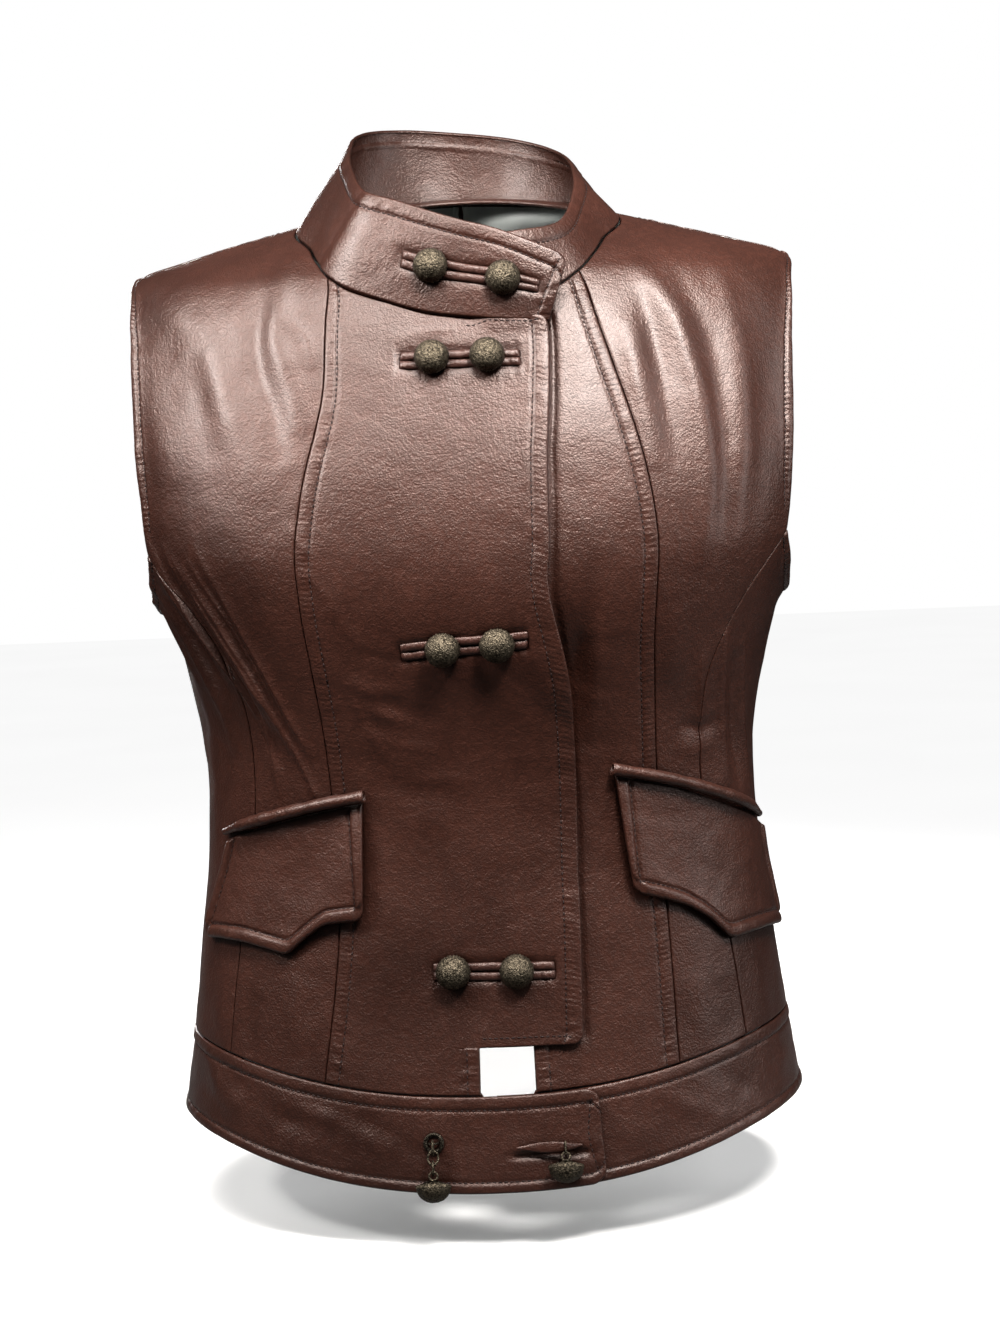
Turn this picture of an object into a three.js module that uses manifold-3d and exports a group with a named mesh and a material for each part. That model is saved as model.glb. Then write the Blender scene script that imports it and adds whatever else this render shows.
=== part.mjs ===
// A leather vest, worn and hollow: stand collar with an overlapping tab, a placket that laps to the
// wearer's left, princess seams, two pocket flaps under rolled welts, and a waistband with a tab.
// Millimetres, +Z up. The front looks along -Y and the wearer's right is on -X.
// The origin is where the shoulders carry it, midway between the shoulder seams at the neck.
import * as THREE from 'three';
import { mergeVertices } from 'three/addons/utils/BufferGeometryUtils.js';
import Module from 'manifold-3d';

const solids = await Module();
solids.setup();

// Driving dimensions
const LEATHER = 2;            // a front or back with its turned facing
const COLLAR_LEATHER = 2.4;
const SEAM_GAP = 0.3;
const LAP = 2.9;              // how far an overlapping front stands out over the one below it
const SHOULDER_TIP = -30;     // height of the shoulder tips under the neck points
const HEM_SIDE = -506;
const HEM_DROP = 27;          // the hem dips this much at centre front
const BAND_SIDE = 46;         // waistband height at the side
const BAND_EXTRA = 5;         // and what it gains at centre front
const NOTCH_TOP = -457;       // lower end of the placket
const CLOSING_EDGE = 359.4;   // angle of the right front's edge below the placket
const LEFT_EDGE = 6.5;        // angle of the left front's edge, under the placket
const DOME_RADIUS = 9.2;
const DOME_HEIGHT = 7.8;
const SHANK_RADIUS = 1.5;
const SHANK_LENGTH = 2.3;
const WELT_RADIUS = 3.4;
const WELT_REST = 0.9;

const leather = new THREE.MeshStandardMaterial({ color: 0x5f3e36, roughness: 0.38, metalness: 0 });
const edgeLeather = new THREE.MeshStandardMaterial({ color: 0x4a2c25, roughness: 0.42, metalness: 0 });
const brass = new THREE.MeshStandardMaterial({ color: 0x50483a, roughness: 0.4, metalness: 1 });
const vest = new THREE.Group();

// Level sections of the body: height, half width, depth to the front and the back, and how square
// the front and back halves are (2 is an ellipse). Above SHOULDER_TIP they close in to the ridge.
const SECTIONS = [
  [16, 62, 40, 52, 1.8, 1.8],
  [8, 72, 44, 56, 1.6, 1.6],
  [0, 85, 47, 60, 1.3, 1.3],
  [-5, 103, 50, 63, 1.3, 1.3],
  [-10, 121, 53, 65, 1.3, 1.3],
  [-15, 140, 56, 68, 1.3, 1.3],
  [-20, 158, 59, 71, 1.35, 1.35],
  [-25, 177, 63, 74, 1.45, 1.45],
  [-30, 187, 67, 77, 1.6, 1.6],
  [-40, 191, 75, 82, 1.9, 1.85],
  [-60, 195, 85, 90, 2.15, 2.1],
  [-100, 198, 100, 100, 2.35, 2.25],
  [-145, 197, 114, 107, 2.5, 2.3],
  [-185, 190, 121, 109, 2.55, 2.3],
  [-215, 179, 121, 107, 2.5, 2.3],
  [-245, 168, 115, 102, 2.45, 2.3],
  [-280, 160, 105, 94, 2.4, 2.3],
  [-316, 158, 99, 88, 2.35, 2.3],
  [-360, 160, 99, 89, 2.3, 2.3],
  [-400, 165, 103, 96, 2.3, 2.3],
  [-440, 170, 108, 104, 2.3, 2.3],
  [-483, 176, 115, 111, 2.3, 2.3],
  [-540, 187, 125, 119, 2.3, 2.3],
].map(([z, half, front, back, frontSquare, backSquare]) => ({ z, half, front, back, frontSquare, backSquare }));

// A smooth value between the rows of a table, by cubic Hermite steps
function between(rows, key, column, at) {
  const up = rows[0][key] < rows[rows.length - 1][key];
  const list = up ? rows : [...rows].reverse();
  const last = list.length - 1;
  let k = 0;
  while (k < last - 1 && list[k + 1][key] < at) k++;
  const slope = (n) => {
    const a = list[Math.max(n - 1, 0)];
    const b = list[Math.min(n + 1, last)];
    return (b[column] - a[column]) / (b[key] - a[key]);
  };
  const step = list[k + 1][key] - list[k][key];
  const t = THREE.MathUtils.clamp((at - list[k][key]) / step, 0, 1);
  return (2 * t ** 3 - 3 * t ** 2 + 1) * list[k][column] + (t ** 3 - 2 * t ** 2 + t) * step * slope(k)
    + (3 * t ** 2 - 2 * t ** 3) * list[k + 1][column] + (t ** 3 - t ** 2) * step * slope(k + 1);
}

// Angles run from centre front, 0, by the wearer's left, 90, to the back, 180, and on to 360
function formPoint(angle, z) {
  const turn = THREE.MathUtils.degToRad(angle);
  const s = Math.sin(turn);
  const c = Math.cos(turn);
  const square = between(SECTIONS, 'z', c >= 0 ? 'frontSquare' : 'backSquare', z);
  const depth = between(SECTIONS, 'z', c >= 0 ? 'front' : 'back', z);
  const x = between(SECTIONS, 'z', 'half', z) * Math.sign(s) * Math.abs(s) ** (2 / square);
  return new THREE.Vector3(x, -depth * Math.sign(c) * Math.abs(c) ** (2 / square), z);
}

function formNormal(angle, z) {
  const round = formPoint(angle + 1, z).sub(formPoint(angle - 1, z));
  const up = formPoint(angle, z + 0.5).sub(formPoint(angle, z - 0.5));
  return round.cross(up).normalize();
}

// The largest folds, as ridges (or troughs, where the height is negative) between two places
const FOLDS = [
  { from: [291, -150], to: [318, -232], height: 2.6, width: 11 },
  { from: [296, -196], to: [322, -284], height: 3.2, width: 10 },
  { from: [290, -205], to: [314, -285], height: -2.4, width: 9 },
  { from: [285, -168], to: [306, -262], height: 2.8, width: 12 },
  { from: [330, -50], to: [326, -150], height: 2.2, width: 13 },
  { from: [306, -52], to: [316, -160], height: 2.4, width: 15 },
  { from: [317, -70], to: [320, -140], height: -1.8, width: 10 },
  { from: [34, -38], to: [36, -160], height: 2.2, width: 12 },
  { from: [44, -34], to: [48, -185], height: 2.6, width: 14 },
  { from: [41, -60], to: [41, -160], height: -1.8, width: 9 },
  { from: [52, -262], to: [55, -330], height: 2.4, width: 11 },
  { from: [64, -250], to: [72, -330], height: 2.2, width: 12 },
  { from: [42, -300], to: [68, -278], height: -1.8, width: 9 },
  { from: [128, -270], to: [150, -300], height: 2.4, width: 12 },
  { from: [232, -262], to: [212, -296], height: 2.6, width: 12 },
  { from: [140, -120], to: [150, -230], height: 2.2, width: 16 },
  { from: [222, -110], to: [208, -225], height: 2.2, width: 16 },
].map((fold) => ({ ...fold, line: new THREE.Line3(formPoint(...fold.from), formPoint(...fold.to)) }));

function relief(point) {
  const nearest = new THREE.Vector3();
  let height = 0;
  for (const fold of FOLDS) {
    fold.line.closestPointToPoint(point, true, nearest);
    height += fold.height * Math.exp(-((nearest.distanceTo(point) / fold.width) ** 2));
  }
  return height;
}

function onForm(angle, z, lift = 0) {
  const point = formPoint(angle, z);
  return point.addScaledVector(formNormal(angle, z), relief(point) + lift);
}

function addMesh(parent, name, geometry, material) {
  const mesh = new THREE.Mesh(geometry, material);
  mesh.name = name;
  parent.add(mesh);
  return mesh;
}

// A closed wall from a grid of outer and inner points. keep(i, j) leaves a cell out.
function wall(name, outer, inner, material = leather, keep = () => true) {
  const columns = outer[0].length - 1;
  const rows = outer.length - 1;
  const solid = (i, j) => i >= 0 && j >= 0 && i < columns && j < rows && keep(i, j);
  const corners = [];
  const quad = (a, b, c, d) => corners.push(a, b, c, a, c, d);
  for (let j = 0; j < rows; j++) {
    for (let i = 0; i < columns; i++) {
      if (!solid(i, j)) continue;
      const out = [outer[j][i], outer[j][i + 1], outer[j + 1][i + 1], outer[j + 1][i]];
      const back = [inner[j][i], inner[j][i + 1], inner[j + 1][i + 1], inner[j + 1][i]];
      const open = [!solid(i, j - 1), !solid(i + 1, j), !solid(i, j + 1), !solid(i - 1, j)];
      quad(...out);
      corners.push(back[0], back[2], back[1], back[0], back[3], back[2]);
      for (let k = 0; k < 4; k++) {
        const n = (k + 1) % 4;
        if (open[k]) quad(out[k], back[k], back[n], out[n]);
      }
    }
  }
  let volume = 0;
  const cross = new THREE.Vector3();
  for (let k = 0; k < corners.length; k += 3) {
    volume += corners[k].dot(cross.crossVectors(corners[k + 1], corners[k + 2]));
  }
  if (volume < 0) corners.reverse();
  const geometry = new THREE.BufferGeometry().setFromPoints(corners);
  geometry.computeVertexNormals();
  return addMesh(vest, name, geometry, material);
}

const fractions = (count) => Array.from({ length: count + 1 }, (_, k) => k / count);

function sampled(points, steps) {
  const curve = new THREE.SplineCurve(points.map(([angle, z]) => new THREE.Vector2(angle, z)));
  return steps.map((t) => curve.getPointAt(t).toArray());
}

// Points between four edges, each a list of [angle, height]. hold keeps the shape of the bottom and
// top edges near them, so that the rows between stay inside the side edges.
function patch(left, right, bottom, top, hold = 5) {
  const columns = bottom.length - 1;
  const rows = left.length - 1;
  return left.map((_, j) => bottom.map((__, i) => {
    const u = i / columns;
    const low = (1 - j / rows) ** hold;
    const high = (j / rows) ** hold;
    const mix = THREE.MathUtils.lerp;
    return [0, 1].map((k) => mix(left[j][k], right[j][k], u)
      + low * (bottom[i][k] - mix(bottom[0][k], bottom[columns][k], u))
      + high * (top[i][k] - mix(top[0][k], top[columns][k], u)));
  }));
}

// One cut panel: the grid on the form, drawn in by half a seam gap all round
function panel(name, grid, lift = () => 0, keep = undefined) {
  const rows = grid.length - 1;
  const columns = grid[0].length - 1;
  const outer = grid.map((row) => row.map(([angle, z]) => onForm(angle, z, lift(angle, z))));
  const inner = grid.map((row) => row.map(([angle, z]) => onForm(angle, z, lift(angle, z) - LEATHER)));
  const shifts = outer.map((row, j) => row.map((point, i) => {
    const shift = new THREE.Vector3();
    const towards = (m, n) => shift.addScaledVector(outer[n][m].clone().sub(point).normalize(), SEAM_GAP * 0.6);
    if (i === 0) towards(1, j);
    if (i === columns) towards(columns - 1, j);
    if (j === 0) towards(i, 1);
    if (j === rows) towards(i, rows - 1);
    return shift;
  }));
  shifts.forEach((row, j) => row.forEach((shift, i) => {
    outer[j][i].add(shift);
    inner[j][i].add(shift);
  }));
  return wall(name, outer, inner, leather, keep);
}

// Where the collar is sewn on: angle and height, from the left front's edge round to the placket
const NECK = [
  [6.5, -62], [13, -53], [18, -46], [24, -36.5], [39, -20.5], [60, -8.5], [90, 0], [120, 6], [150, 12],
  [180, 14], [210, 12], [240, 6], [270, 0], [300, -8.5], [321, -20.5], [336, -37], [342, -46],
  [348.5, -53], [355, -60.5], [360, -65], [366, -68.5], [372.5, -70],
].map(([angle, z]) => ({ angle, z }));
const neckHeight = (angle) => between(NECK, 'angle', 'z', angle);
const neckEdge = (from, to, count) => fractions(count).map((t) => {
  const angle = THREE.MathUtils.lerp(from, to, t);
  return [angle, neckHeight(angle)];
});

const dip = (angle) => Math.max(Math.cos(THREE.MathUtils.degToRad(angle)), 0) ** 3;
const hemHeight = (angle) => HEM_SIDE - HEM_DROP * dip(angle);
const bandTop = (angle) => hemHeight(angle) + BAND_SIDE + BAND_EXTRA * dip(angle);
const bandEdge = (from, to, count) => fractions(count).map((t) => {
  const angle = THREE.MathUtils.lerp(from, to, t);
  return [angle, bandTop(angle)];
});

const smooth = (low, high, at) => THREE.MathUtils.smoothstep(at, low, high);
const placketLap = (angle) => LAP * smooth(354, 364.5, angle);
const bandLap = (angle) => LAP * smooth(352.5, 360.4, angle);

// Seams and edges, as [angle, height] from the waistband up. The wearer's right mirrors the left
// but for its princess seam, which lies nearer to centre front.
const mirrored = (points) => points.map(([angle, z]) => [360 - angle, z]);
const PRINCESS_LEFT = [
  [34, bandTop(34)], [35.4, -380], [34.5, -290], [30, -225], [25.2, -156], [21.5, -95], [20.4, -60],
  [21.5, neckHeight(21.5)],
];
const PRINCESS_RIGHT = [
  [332.7, bandTop(332.7)], [335, -393], [333.5, -300], [334.3, -233], [339, -160], [342, -106],
  [340, -56], [337, neckHeight(337)],
];
const SIDE_FRONT = [[54, bandTop(54)], [53, -407], [49, -332], [48, -266], [55, -218], [65, -185]];
const SIDE_BACK = [[124, bandTop(124)], [122, -332], [120, -262], [117, -215], [114, -185]];
const ARM_FRONT = [[65, -185], [62.5, -150], [63.5, -110], [67, -75], [74, -47], [90, SHOULDER_TIP]];
const ARM_BACK = [[114, -185], [117.5, -150], [116, -110], [112, -75], [105, -47], [90, SHOULDER_TIP]];
const ARM_UNDER = [[65, -185], [76, -209], [90, -217], [104, -208], [114, -185]];
const PLACKET_EDGE = [
  [374.8, NOTCH_TOP], [376.6, -342], [375.1, -270], [370, -215], [369.2, -190], [369.4, -139], [372.5, -70],
];

const BODY_ROWS = 22;
const SIDE_ROWS = 14;         // rows below the armhole
const RIDGE_COLUMNS = 5;      // columns along the shoulder seam
const FRONT_COLUMNS = 14;
const BACK_COLUMNS = 12;
const upRows = fractions(BODY_ROWS);
const ridge = (angle) => fractions(RIDGE_COLUMNS).map((t) => [angle, SHOULDER_TIP * t]);

// A side edge that follows a seam up to the armhole, then the armhole to the shoulder tip
const edgeBy = (seam, arm) => [
  ...sampled(seam, fractions(SIDE_ROWS)),
  ...sampled(arm, fractions(BODY_ROWS - SIDE_ROWS)).slice(1),
];

function frontSide(name, princess, seam, arm, shoulder) {
  const neckAngle = princess[princess.length - 1][0];
  const top = [
    ...neckEdge(neckAngle, shoulder, FRONT_COLUMNS - RIDGE_COLUMNS),
    ...ridge(shoulder).slice(1),
  ];
  const bottom = bandEdge(princess[0][0], seam[0][0], FRONT_COLUMNS);
  panel(name, patch(sampled(princess, upRows), edgeBy(seam, arm), bottom, top));
}
frontSide('front_left_side', PRINCESS_LEFT, SIDE_FRONT, ARM_FRONT, 90);
frontSide('front_right_side', PRINCESS_RIGHT, mirrored(SIDE_FRONT), mirrored(ARM_FRONT), 270);

function sidePanel(name, front, back, under) {
  const columns = 10;
  const rows = fractions(SIDE_ROWS);
  const bottom = bandEdge(front[0][0], back[0][0], columns);
  const top = sampled(under, fractions(columns));
  panel(name, patch(sampled(front, rows), sampled(back, rows), bottom, top, 2));
}
sidePanel('side_left', SIDE_FRONT, SIDE_BACK, ARM_UNDER);
sidePanel('side_right', mirrored(SIDE_FRONT), mirrored(SIDE_BACK), mirrored(ARM_UNDER));

function back(name, seam, arm, shoulder) {
  const top = [
    ...neckEdge(180, shoulder, BACK_COLUMNS - RIDGE_COLUMNS),
    ...ridge(shoulder).slice(1),
  ];
  const centre = sampled([[180, bandTop(180)], [180, neckHeight(180)]], upRows);
  panel(name, patch(centre, edgeBy(seam, arm), bandEdge(180, seam[0][0], BACK_COLUMNS), top));
}
back('back_left', SIDE_BACK, ARM_BACK, 90);
back('back_right', mirrored(SIDE_BACK), mirrored(ARM_BACK), 270);

// The left front ends in a straight edge under the placket
function frontLeftCentre() {
  const princessNeck = PRINCESS_LEFT[PRINCESS_LEFT.length - 1][0];
  const columns = 5;
  const edge = sampled([[LEFT_EDGE, bandTop(LEFT_EDGE)], [LEFT_EDGE, neckHeight(LEFT_EDGE)]], upRows);
  panel('front_left_centre', patch(
    edge,
    sampled(PRINCESS_LEFT, upRows),
    bandEdge(LEFT_EDGE, PRINCESS_LEFT[0][0], columns),
    neckEdge(LEFT_EDGE, princessNeck, columns),
  ));
}
frontLeftCentre();

// The right front and its placket are one piece. Below the placket only the front itself goes on,
// so the lowest row of the placket's columns is left out.
function frontRightCentre() {
  const bodyColumns = 6;
  const placketColumns = 4;
  const notch = (NOTCH_TOP - bandTop(CLOSING_EDGE)) / (neckHeight(360) - bandTop(CLOSING_EDGE));
  const rows = [0, ...fractions(BODY_ROWS - 1).map((t) => notch + t * (1 - notch))];
  const fold = rows.map((t) => [
    THREE.MathUtils.lerp(CLOSING_EDGE, 360, t),
    THREE.MathUtils.lerp(bandTop(CLOSING_EDGE), neckHeight(360), t),
  ]);
  const princess = sampled(PRINCESS_RIGHT, upRows);
  const princessNeck = PRINCESS_RIGHT[PRINCESS_RIGHT.length - 1][0];
  const body = patch(
    princess,
    fold,
    bandEdge(PRINCESS_RIGHT[0][0], CLOSING_EDGE, bodyColumns),
    neckEdge(princessNeck, 360, bodyColumns),
  );
  const free = sampled(PLACKET_EDGE, fractions(BODY_ROWS - 1));
  const laps = patch(
    fold.slice(1),
    free,
    fractions(placketColumns).map((t) => [THREE.MathUtils.lerp(fold[1][0], free[0][0], t), NOTCH_TOP]),
    neckEdge(360, 372.5, placketColumns),
  );
  const grid = body.map((row, j) => [...row, ...laps[Math.max(j - 1, 0)].slice(1)]);
  const keep = (i, j) => i < bodyColumns || j > 0;
  panel('front_right_centre', grid, placketLap, keep);
}
frontRightCentre();

// The waistband goes once round and its tab end laps over its beginning
function waistband() {
  const under = 1;
  const end = 376.6;
  const front = 340;          // the lap and the tab lie past this angle, in narrower columns
  const rows = 3;
  const corner = 5;           // radius of the tab's corners
  const turns = [
    ...fractions(58).map((t) => THREE.MathUtils.lerp(under, front, t)),
    ...fractions(18).slice(1).map((t) => THREE.MathUtils.lerp(front, end, t)),
  ];
  turns.splice(turns.length - 1, 0, end - 0.7, end - 0.25);
  const tip = onForm(end, bandTop(end));
  const place = (side) => fractions(rows).map((v) => turns.map((angle) => {
    const left = THREE.MathUtils.clamp(tip.distanceTo(onForm(angle, bandTop(end))), 0, corner);
    const inset = angle > 360 + under ? corner - Math.sqrt(corner ** 2 - (corner - left) ** 2) : 0;
    const top = bandTop(angle) - SEAM_GAP - inset;
    const z = THREE.MathUtils.lerp(hemHeight(angle) + inset, top, v);
    return onForm(angle, z, bandLap(angle) - side * LEATHER);
  }));
  wall('waistband', place(0), place(1));
}
waistband();

// The stand collar, from its hidden left end round the neck to the free tab: where each station is
// sewn to the neck (angle) and where its top edge stands
const COLLAR = [
  [6.5, 8, -79, -21],
  [13, 32, -76, -18],
  [24, 57, -60, -12],
  [45, 66, -30, 8],
  [90, 66, 5, 28],
  [120, 57, 30, 40],
  [150, 33, 50, 50],
  [180, 0, 57, 56],
  [210, -34, 50, 58],
  [240, -56, 30, 54],
  [270, -60, 5, 44],
  [315, -58, -27, 27],
  [336, -49, -60, 9],
  [348.5, -28, -72, 0],
  [360, 2, -82.5, -11.5],
  [366, 26, -86, -19],
  [372.5, 61, -86, -34],
].map(([angle, x, y, z]) => ({ angle, top: new THREE.Vector3(x, y, z) }));

const COLLAR_COLUMNS = 54;
const COLLAR_ROWS = 4;
const COLLAR_RISE = 1.3;      // its seam clears the neck edge and its flats
const collarAngles = new THREE.SplineCurve(COLLAR.map(({ angle }, k) => new THREE.Vector2(k, angle)));
const collarTops = new THREE.CatmullRomCurve3(COLLAR.map(({ top }) => top));

function collarSeam(t, depth) {
  const angle = THREE.MathUtils.clamp(collarAngles.getPoint(t).y, LEFT_EDGE, 372.5);
  const z = neckHeight(angle);
  const up = formPoint(angle, z + 0.5).sub(formPoint(angle, z - 0.5)).normalize();
  return onForm(angle, z, placketLap(angle) - depth).addScaledVector(up, COLLAR_RISE);
}
const collarPoint = (t, v) => collarSeam(t, 0).lerp(collarTops.getPoint(t), v);
const collarNormal = (t, v) => {
  const along = collarPoint(Math.min(t + 0.01, 1), v).sub(collarPoint(t - 0.01, v));
  return along.cross(collarPoint(t, v + 0.05).sub(collarPoint(t, v - 0.05))).normalize();
};

function collar() {
  const grid = (make) => fractions(COLLAR_ROWS).map((v) => fractions(COLLAR_COLUMNS).map((t) => make(t, v)));
  const outer = grid(collarPoint);
  const inner = outer.map((row, j) => row.map((point, i) => {
    if (j === 0) return collarSeam(i / COLLAR_COLUMNS, LEATHER);
    const along = row[Math.min(i + 1, COLLAR_COLUMNS)].clone().sub(row[Math.max(i - 1, 0)]);
    const up = outer[COLLAR_ROWS][i].clone().sub(outer[0][i]);
    return point.clone().addScaledVector(along.cross(up).normalize(), -COLLAR_LEATHER);
  }));
  wall('collar', outer, inner);
}
collar();

// Pocket flaps hang from rolled welts. Each row of the table is a place across the flap: the angle
// at its top and bottom edge, and the heights of those edges.
const FLAP_LEATHER = 2.2;
const FLAP_REST = 0.9;        // clear of the front at the top edge
function pocketFlap(side, places, stand) {
  const rows = 5;
  const columns = 12;
  const at = (column, t) => {
    const k = Math.min(Math.floor(t * (places.length - 1)), places.length - 2);
    return THREE.MathUtils.lerp(places[k][column], places[k + 1][column], t * (places.length - 1) - k);
  };
  const place = (under) => fractions(rows).map((v) => fractions(columns).map((t) => {
    const angle = THREE.MathUtils.lerp(at(1, t), at(0, t), v);
    const z = THREE.MathUtils.lerp(at(3, t), at(2, t), v);
    const lift = FLAP_REST + stand * (1 - v) + (under ? 0 : FLAP_LEATHER);
    return onForm(angle, z, lift);
  }));
  wall(`pocket_flap_${side}`, place(false), place(true));
}
pocketFlap('right', [
  [340.7, 340.6, -327, -388],
  [332.5, 333.5, -331, -389.5],
  [323.5, 323.4, -336, -407],
  [313, 309.5, -342, -401],
  [299.2, 291, -350, -404],
], 3.5);
pocketFlap('left', [
  [24.6, 27.1, -317, -379],
  [38, 38, -325, -386],
  [52, 51.5, -335, -410],
  [67, 68, -346, -409],
  [83, 85, -358, -414],
], 3);

function flapWelt(side, points) {
  const round = new THREE.Shape().absarc(0, 0, WELT_RADIUS, 0, Math.PI * 2);
  const path = new THREE.CatmullRomCurve3(points.map(([angle, z]) => onForm(angle, z, WELT_RADIUS + WELT_REST)));
  const geometry = new THREE.ExtrudeGeometry(round, {
    steps: 16, curveSegments: 4, bevelEnabled: false, extrudePath: path,
  });
  addMesh(vest, `flap_welt_${side}`, geometry, leather);
}
flapWelt('right', [[341.5, -319.5], [332.5, -323.5], [323.5, -328.5], [313, -334.5], [299, -342.5]]);
flapWelt('left', [[23.6, -309], [38, -317.5], [52, -327.5], [67, -338.5], [83.5, -350.5]]);

// Bound buttonholes: a leather frame round a narrow slot, with a pair of half-balls standing in it.
// Each row gives the height at both ends, the ends and the two half-balls, as angles.
const BUTTONHOLES = [
  { name: 'top', ends: [-6.9, 7.3], heights: [-86.5, -88.5], domes: [-2.7, 3.1] },
  { name: 'middle', ends: [-8.6, 7.1], heights: [-242, -236.5], domes: [-2.6, 2.9] },
  { name: 'lower', ends: [-7, 10.7], heights: [-416, -417], domes: [-3.8, 4.5] },
];
const FRAME_HALF = 5.2;       // half the height of a bound buttonhole
const SLOT_HALF = 2.1;
const FRAME_REST = 0.5;
const FRAME_LEATHER = 1.2;

function buttonholeFrame(name, place) {
  const columns = 18;
  const across = [-FRAME_HALF, -SLOT_HALF, SLOT_HALF, FRAME_HALF];
  const grid = (lift) => across.map((d) => fractions(columns).map((t) => place(t, d, lift)));
  const keep = (i, j) => j !== 1 || i === 0 || i === columns - 1;
  wall(`buttonhole_${name}`, grid(FRAME_REST + FRAME_LEATHER), grid(FRAME_REST), edgeLeather, keep);
}

// A half-ball with a flat back and a shank, on an axis along +Y from where the shank begins
function domeGeometry() {
  const profile = [
    new THREE.Vector2(0, 0),
    new THREE.Vector2(SHANK_RADIUS, 0),
    new THREE.Vector2(SHANK_RADIUS, SHANK_LENGTH),
    new THREE.Vector2(DOME_RADIUS, SHANK_LENGTH),
  ];
  const rings = 5;
  for (let k = 1; k < rings; k++) {
    const turn = (k / rings) * Math.PI / 2;
    profile.push(new THREE.Vector2(DOME_RADIUS * Math.cos(turn), SHANK_LENGTH + 1 + DOME_HEIGHT * Math.sin(turn)));
  }
  profile.push(new THREE.Vector2(0, SHANK_LENGTH + 1 + DOME_HEIGHT));
  profile.splice(4, 0, new THREE.Vector2(DOME_RADIUS, SHANK_LENGTH + 1));
  return new THREE.LatheGeometry(profile, 14);
}

function dome(parent, name, foot, direction) {
  const mesh = addMesh(parent, name, domeGeometry(), brass);
  mesh.position.copy(foot);
  mesh.quaternion.setFromUnitVectors(new THREE.Vector3(0, 1, 0), direction);
}

for (const { name, ends, heights, domes } of BUTTONHOLES) {
  const level = (angle) => THREE.MathUtils.mapLinear(angle, ends[0], ends[1], heights[0], heights[1]);
  const place = (t, d, lift) => {
    const angle = THREE.MathUtils.lerp(ends[0], ends[1], t);
    return onForm(angle + 360, level(angle) + d, placketLap(angle + 360) + lift);
  };
  buttonholeFrame(name, place);
  domes.forEach((angle, k) => {
    const z = level(angle);
    const foot = onForm(angle + 360, z, placketLap(angle + 360) + FRAME_REST);
    dome(vest, `dome_${name}_${k + 1}`, foot, formNormal(angle + 360, z));
  });
}

// The collar's own buttonhole lies on its tab, placed along the collar (t) and up it (v)
const COLLAR_HOLE = { ends: [0.826, 0.974], middle: 0.45, domes: [0.853, 0.9375], height: 50 };
function collarFastening() {
  const { ends, middle, domes, height } = COLLAR_HOLE;
  const at = (t, v, lift) => collarPoint(t, v).addScaledVector(collarNormal(t, v), lift);
  buttonholeFrame('collar', (u, d, lift) => at(THREE.MathUtils.lerp(...ends, u), middle + d / height, lift));
  domes.forEach((t, k) => dome(vest, `dome_collar_${k + 1}`, at(t, middle, FRAME_REST), collarNormal(t, middle)));
}
collarFastening();

// Two half-balls are undone and hang: one on a short chain from an eyelet in the waistband, one on a
// ring from a leather loop on the band's tab. They hang down along -Z from their hinge, tilted
// forward to rest on the leather.
const WIRE = 0.6;
const LINK_RADIUS = 2.8;
const LINK_STRETCH = 1.3;
const LOOP_RADIUS = 2.2;
const LINK_INNER = (LINK_RADIUS - WIRE) * LINK_STRETCH;
const LINK_PITCH = 2 * LINK_INNER - SEAM_GAP;

// sideways is true for a link that shows its edge from the front
function linkGeometry(sideways) {
  const geometry = new THREE.TorusGeometry(LINK_RADIUS, WIRE, 6, 12);
  if (sideways) geometry.rotateX(Math.PI / 2).rotateZ(Math.PI / 2);
  else geometry.rotateX(Math.PI / 2);
  return geometry.scale(1, 1, LINK_STRETCH);
}

function manifoldOf(geometry) {
  const bare = geometry.clone();
  bare.deleteAttribute('normal');
  bare.deleteAttribute('uv');
  const merged = mergeVertices(bare, 1e-4);
  return new solids.Manifold(new solids.Mesh({
    numProp: 3,
    vertProperties: new Float32Array(merged.attributes.position.array),
    triVerts: new Uint32Array(merged.index.array),
  }));
}

function joined(first, second) {
  const { vertProperties, triVerts } = manifoldOf(first).add(manifoldOf(second)).getMesh();
  const geometry = new THREE.BufferGeometry();
  geometry.setAttribute('position', new THREE.BufferAttribute(vertProperties, 3));
  geometry.setIndex(new THREE.BufferAttribute(triVerts, 1));
  return geometry;
}

// A half-ball that hangs by a wire loop on its shank
function hangingDome(parent, name, distance) {
  const loop = new THREE.TorusGeometry(LOOP_RADIUS, WIRE, 6, 12).rotateX(Math.PI / 2);
  const sunk = 0.3;
  const body = domeGeometry().rotateX(-Math.PI / 2).translate(0, 0, -(LOOP_RADIUS + WIRE - sunk));
  addMesh(parent, name, joined(loop, body), brass).position.set(0, 0, -distance);
}

function hinge(point, tilt) {
  const group = new THREE.Group();
  group.position.copy(point);
  group.rotation.x = -THREE.MathUtils.degToRad(tilt);
  vest.add(group);
  return group;
}

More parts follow.
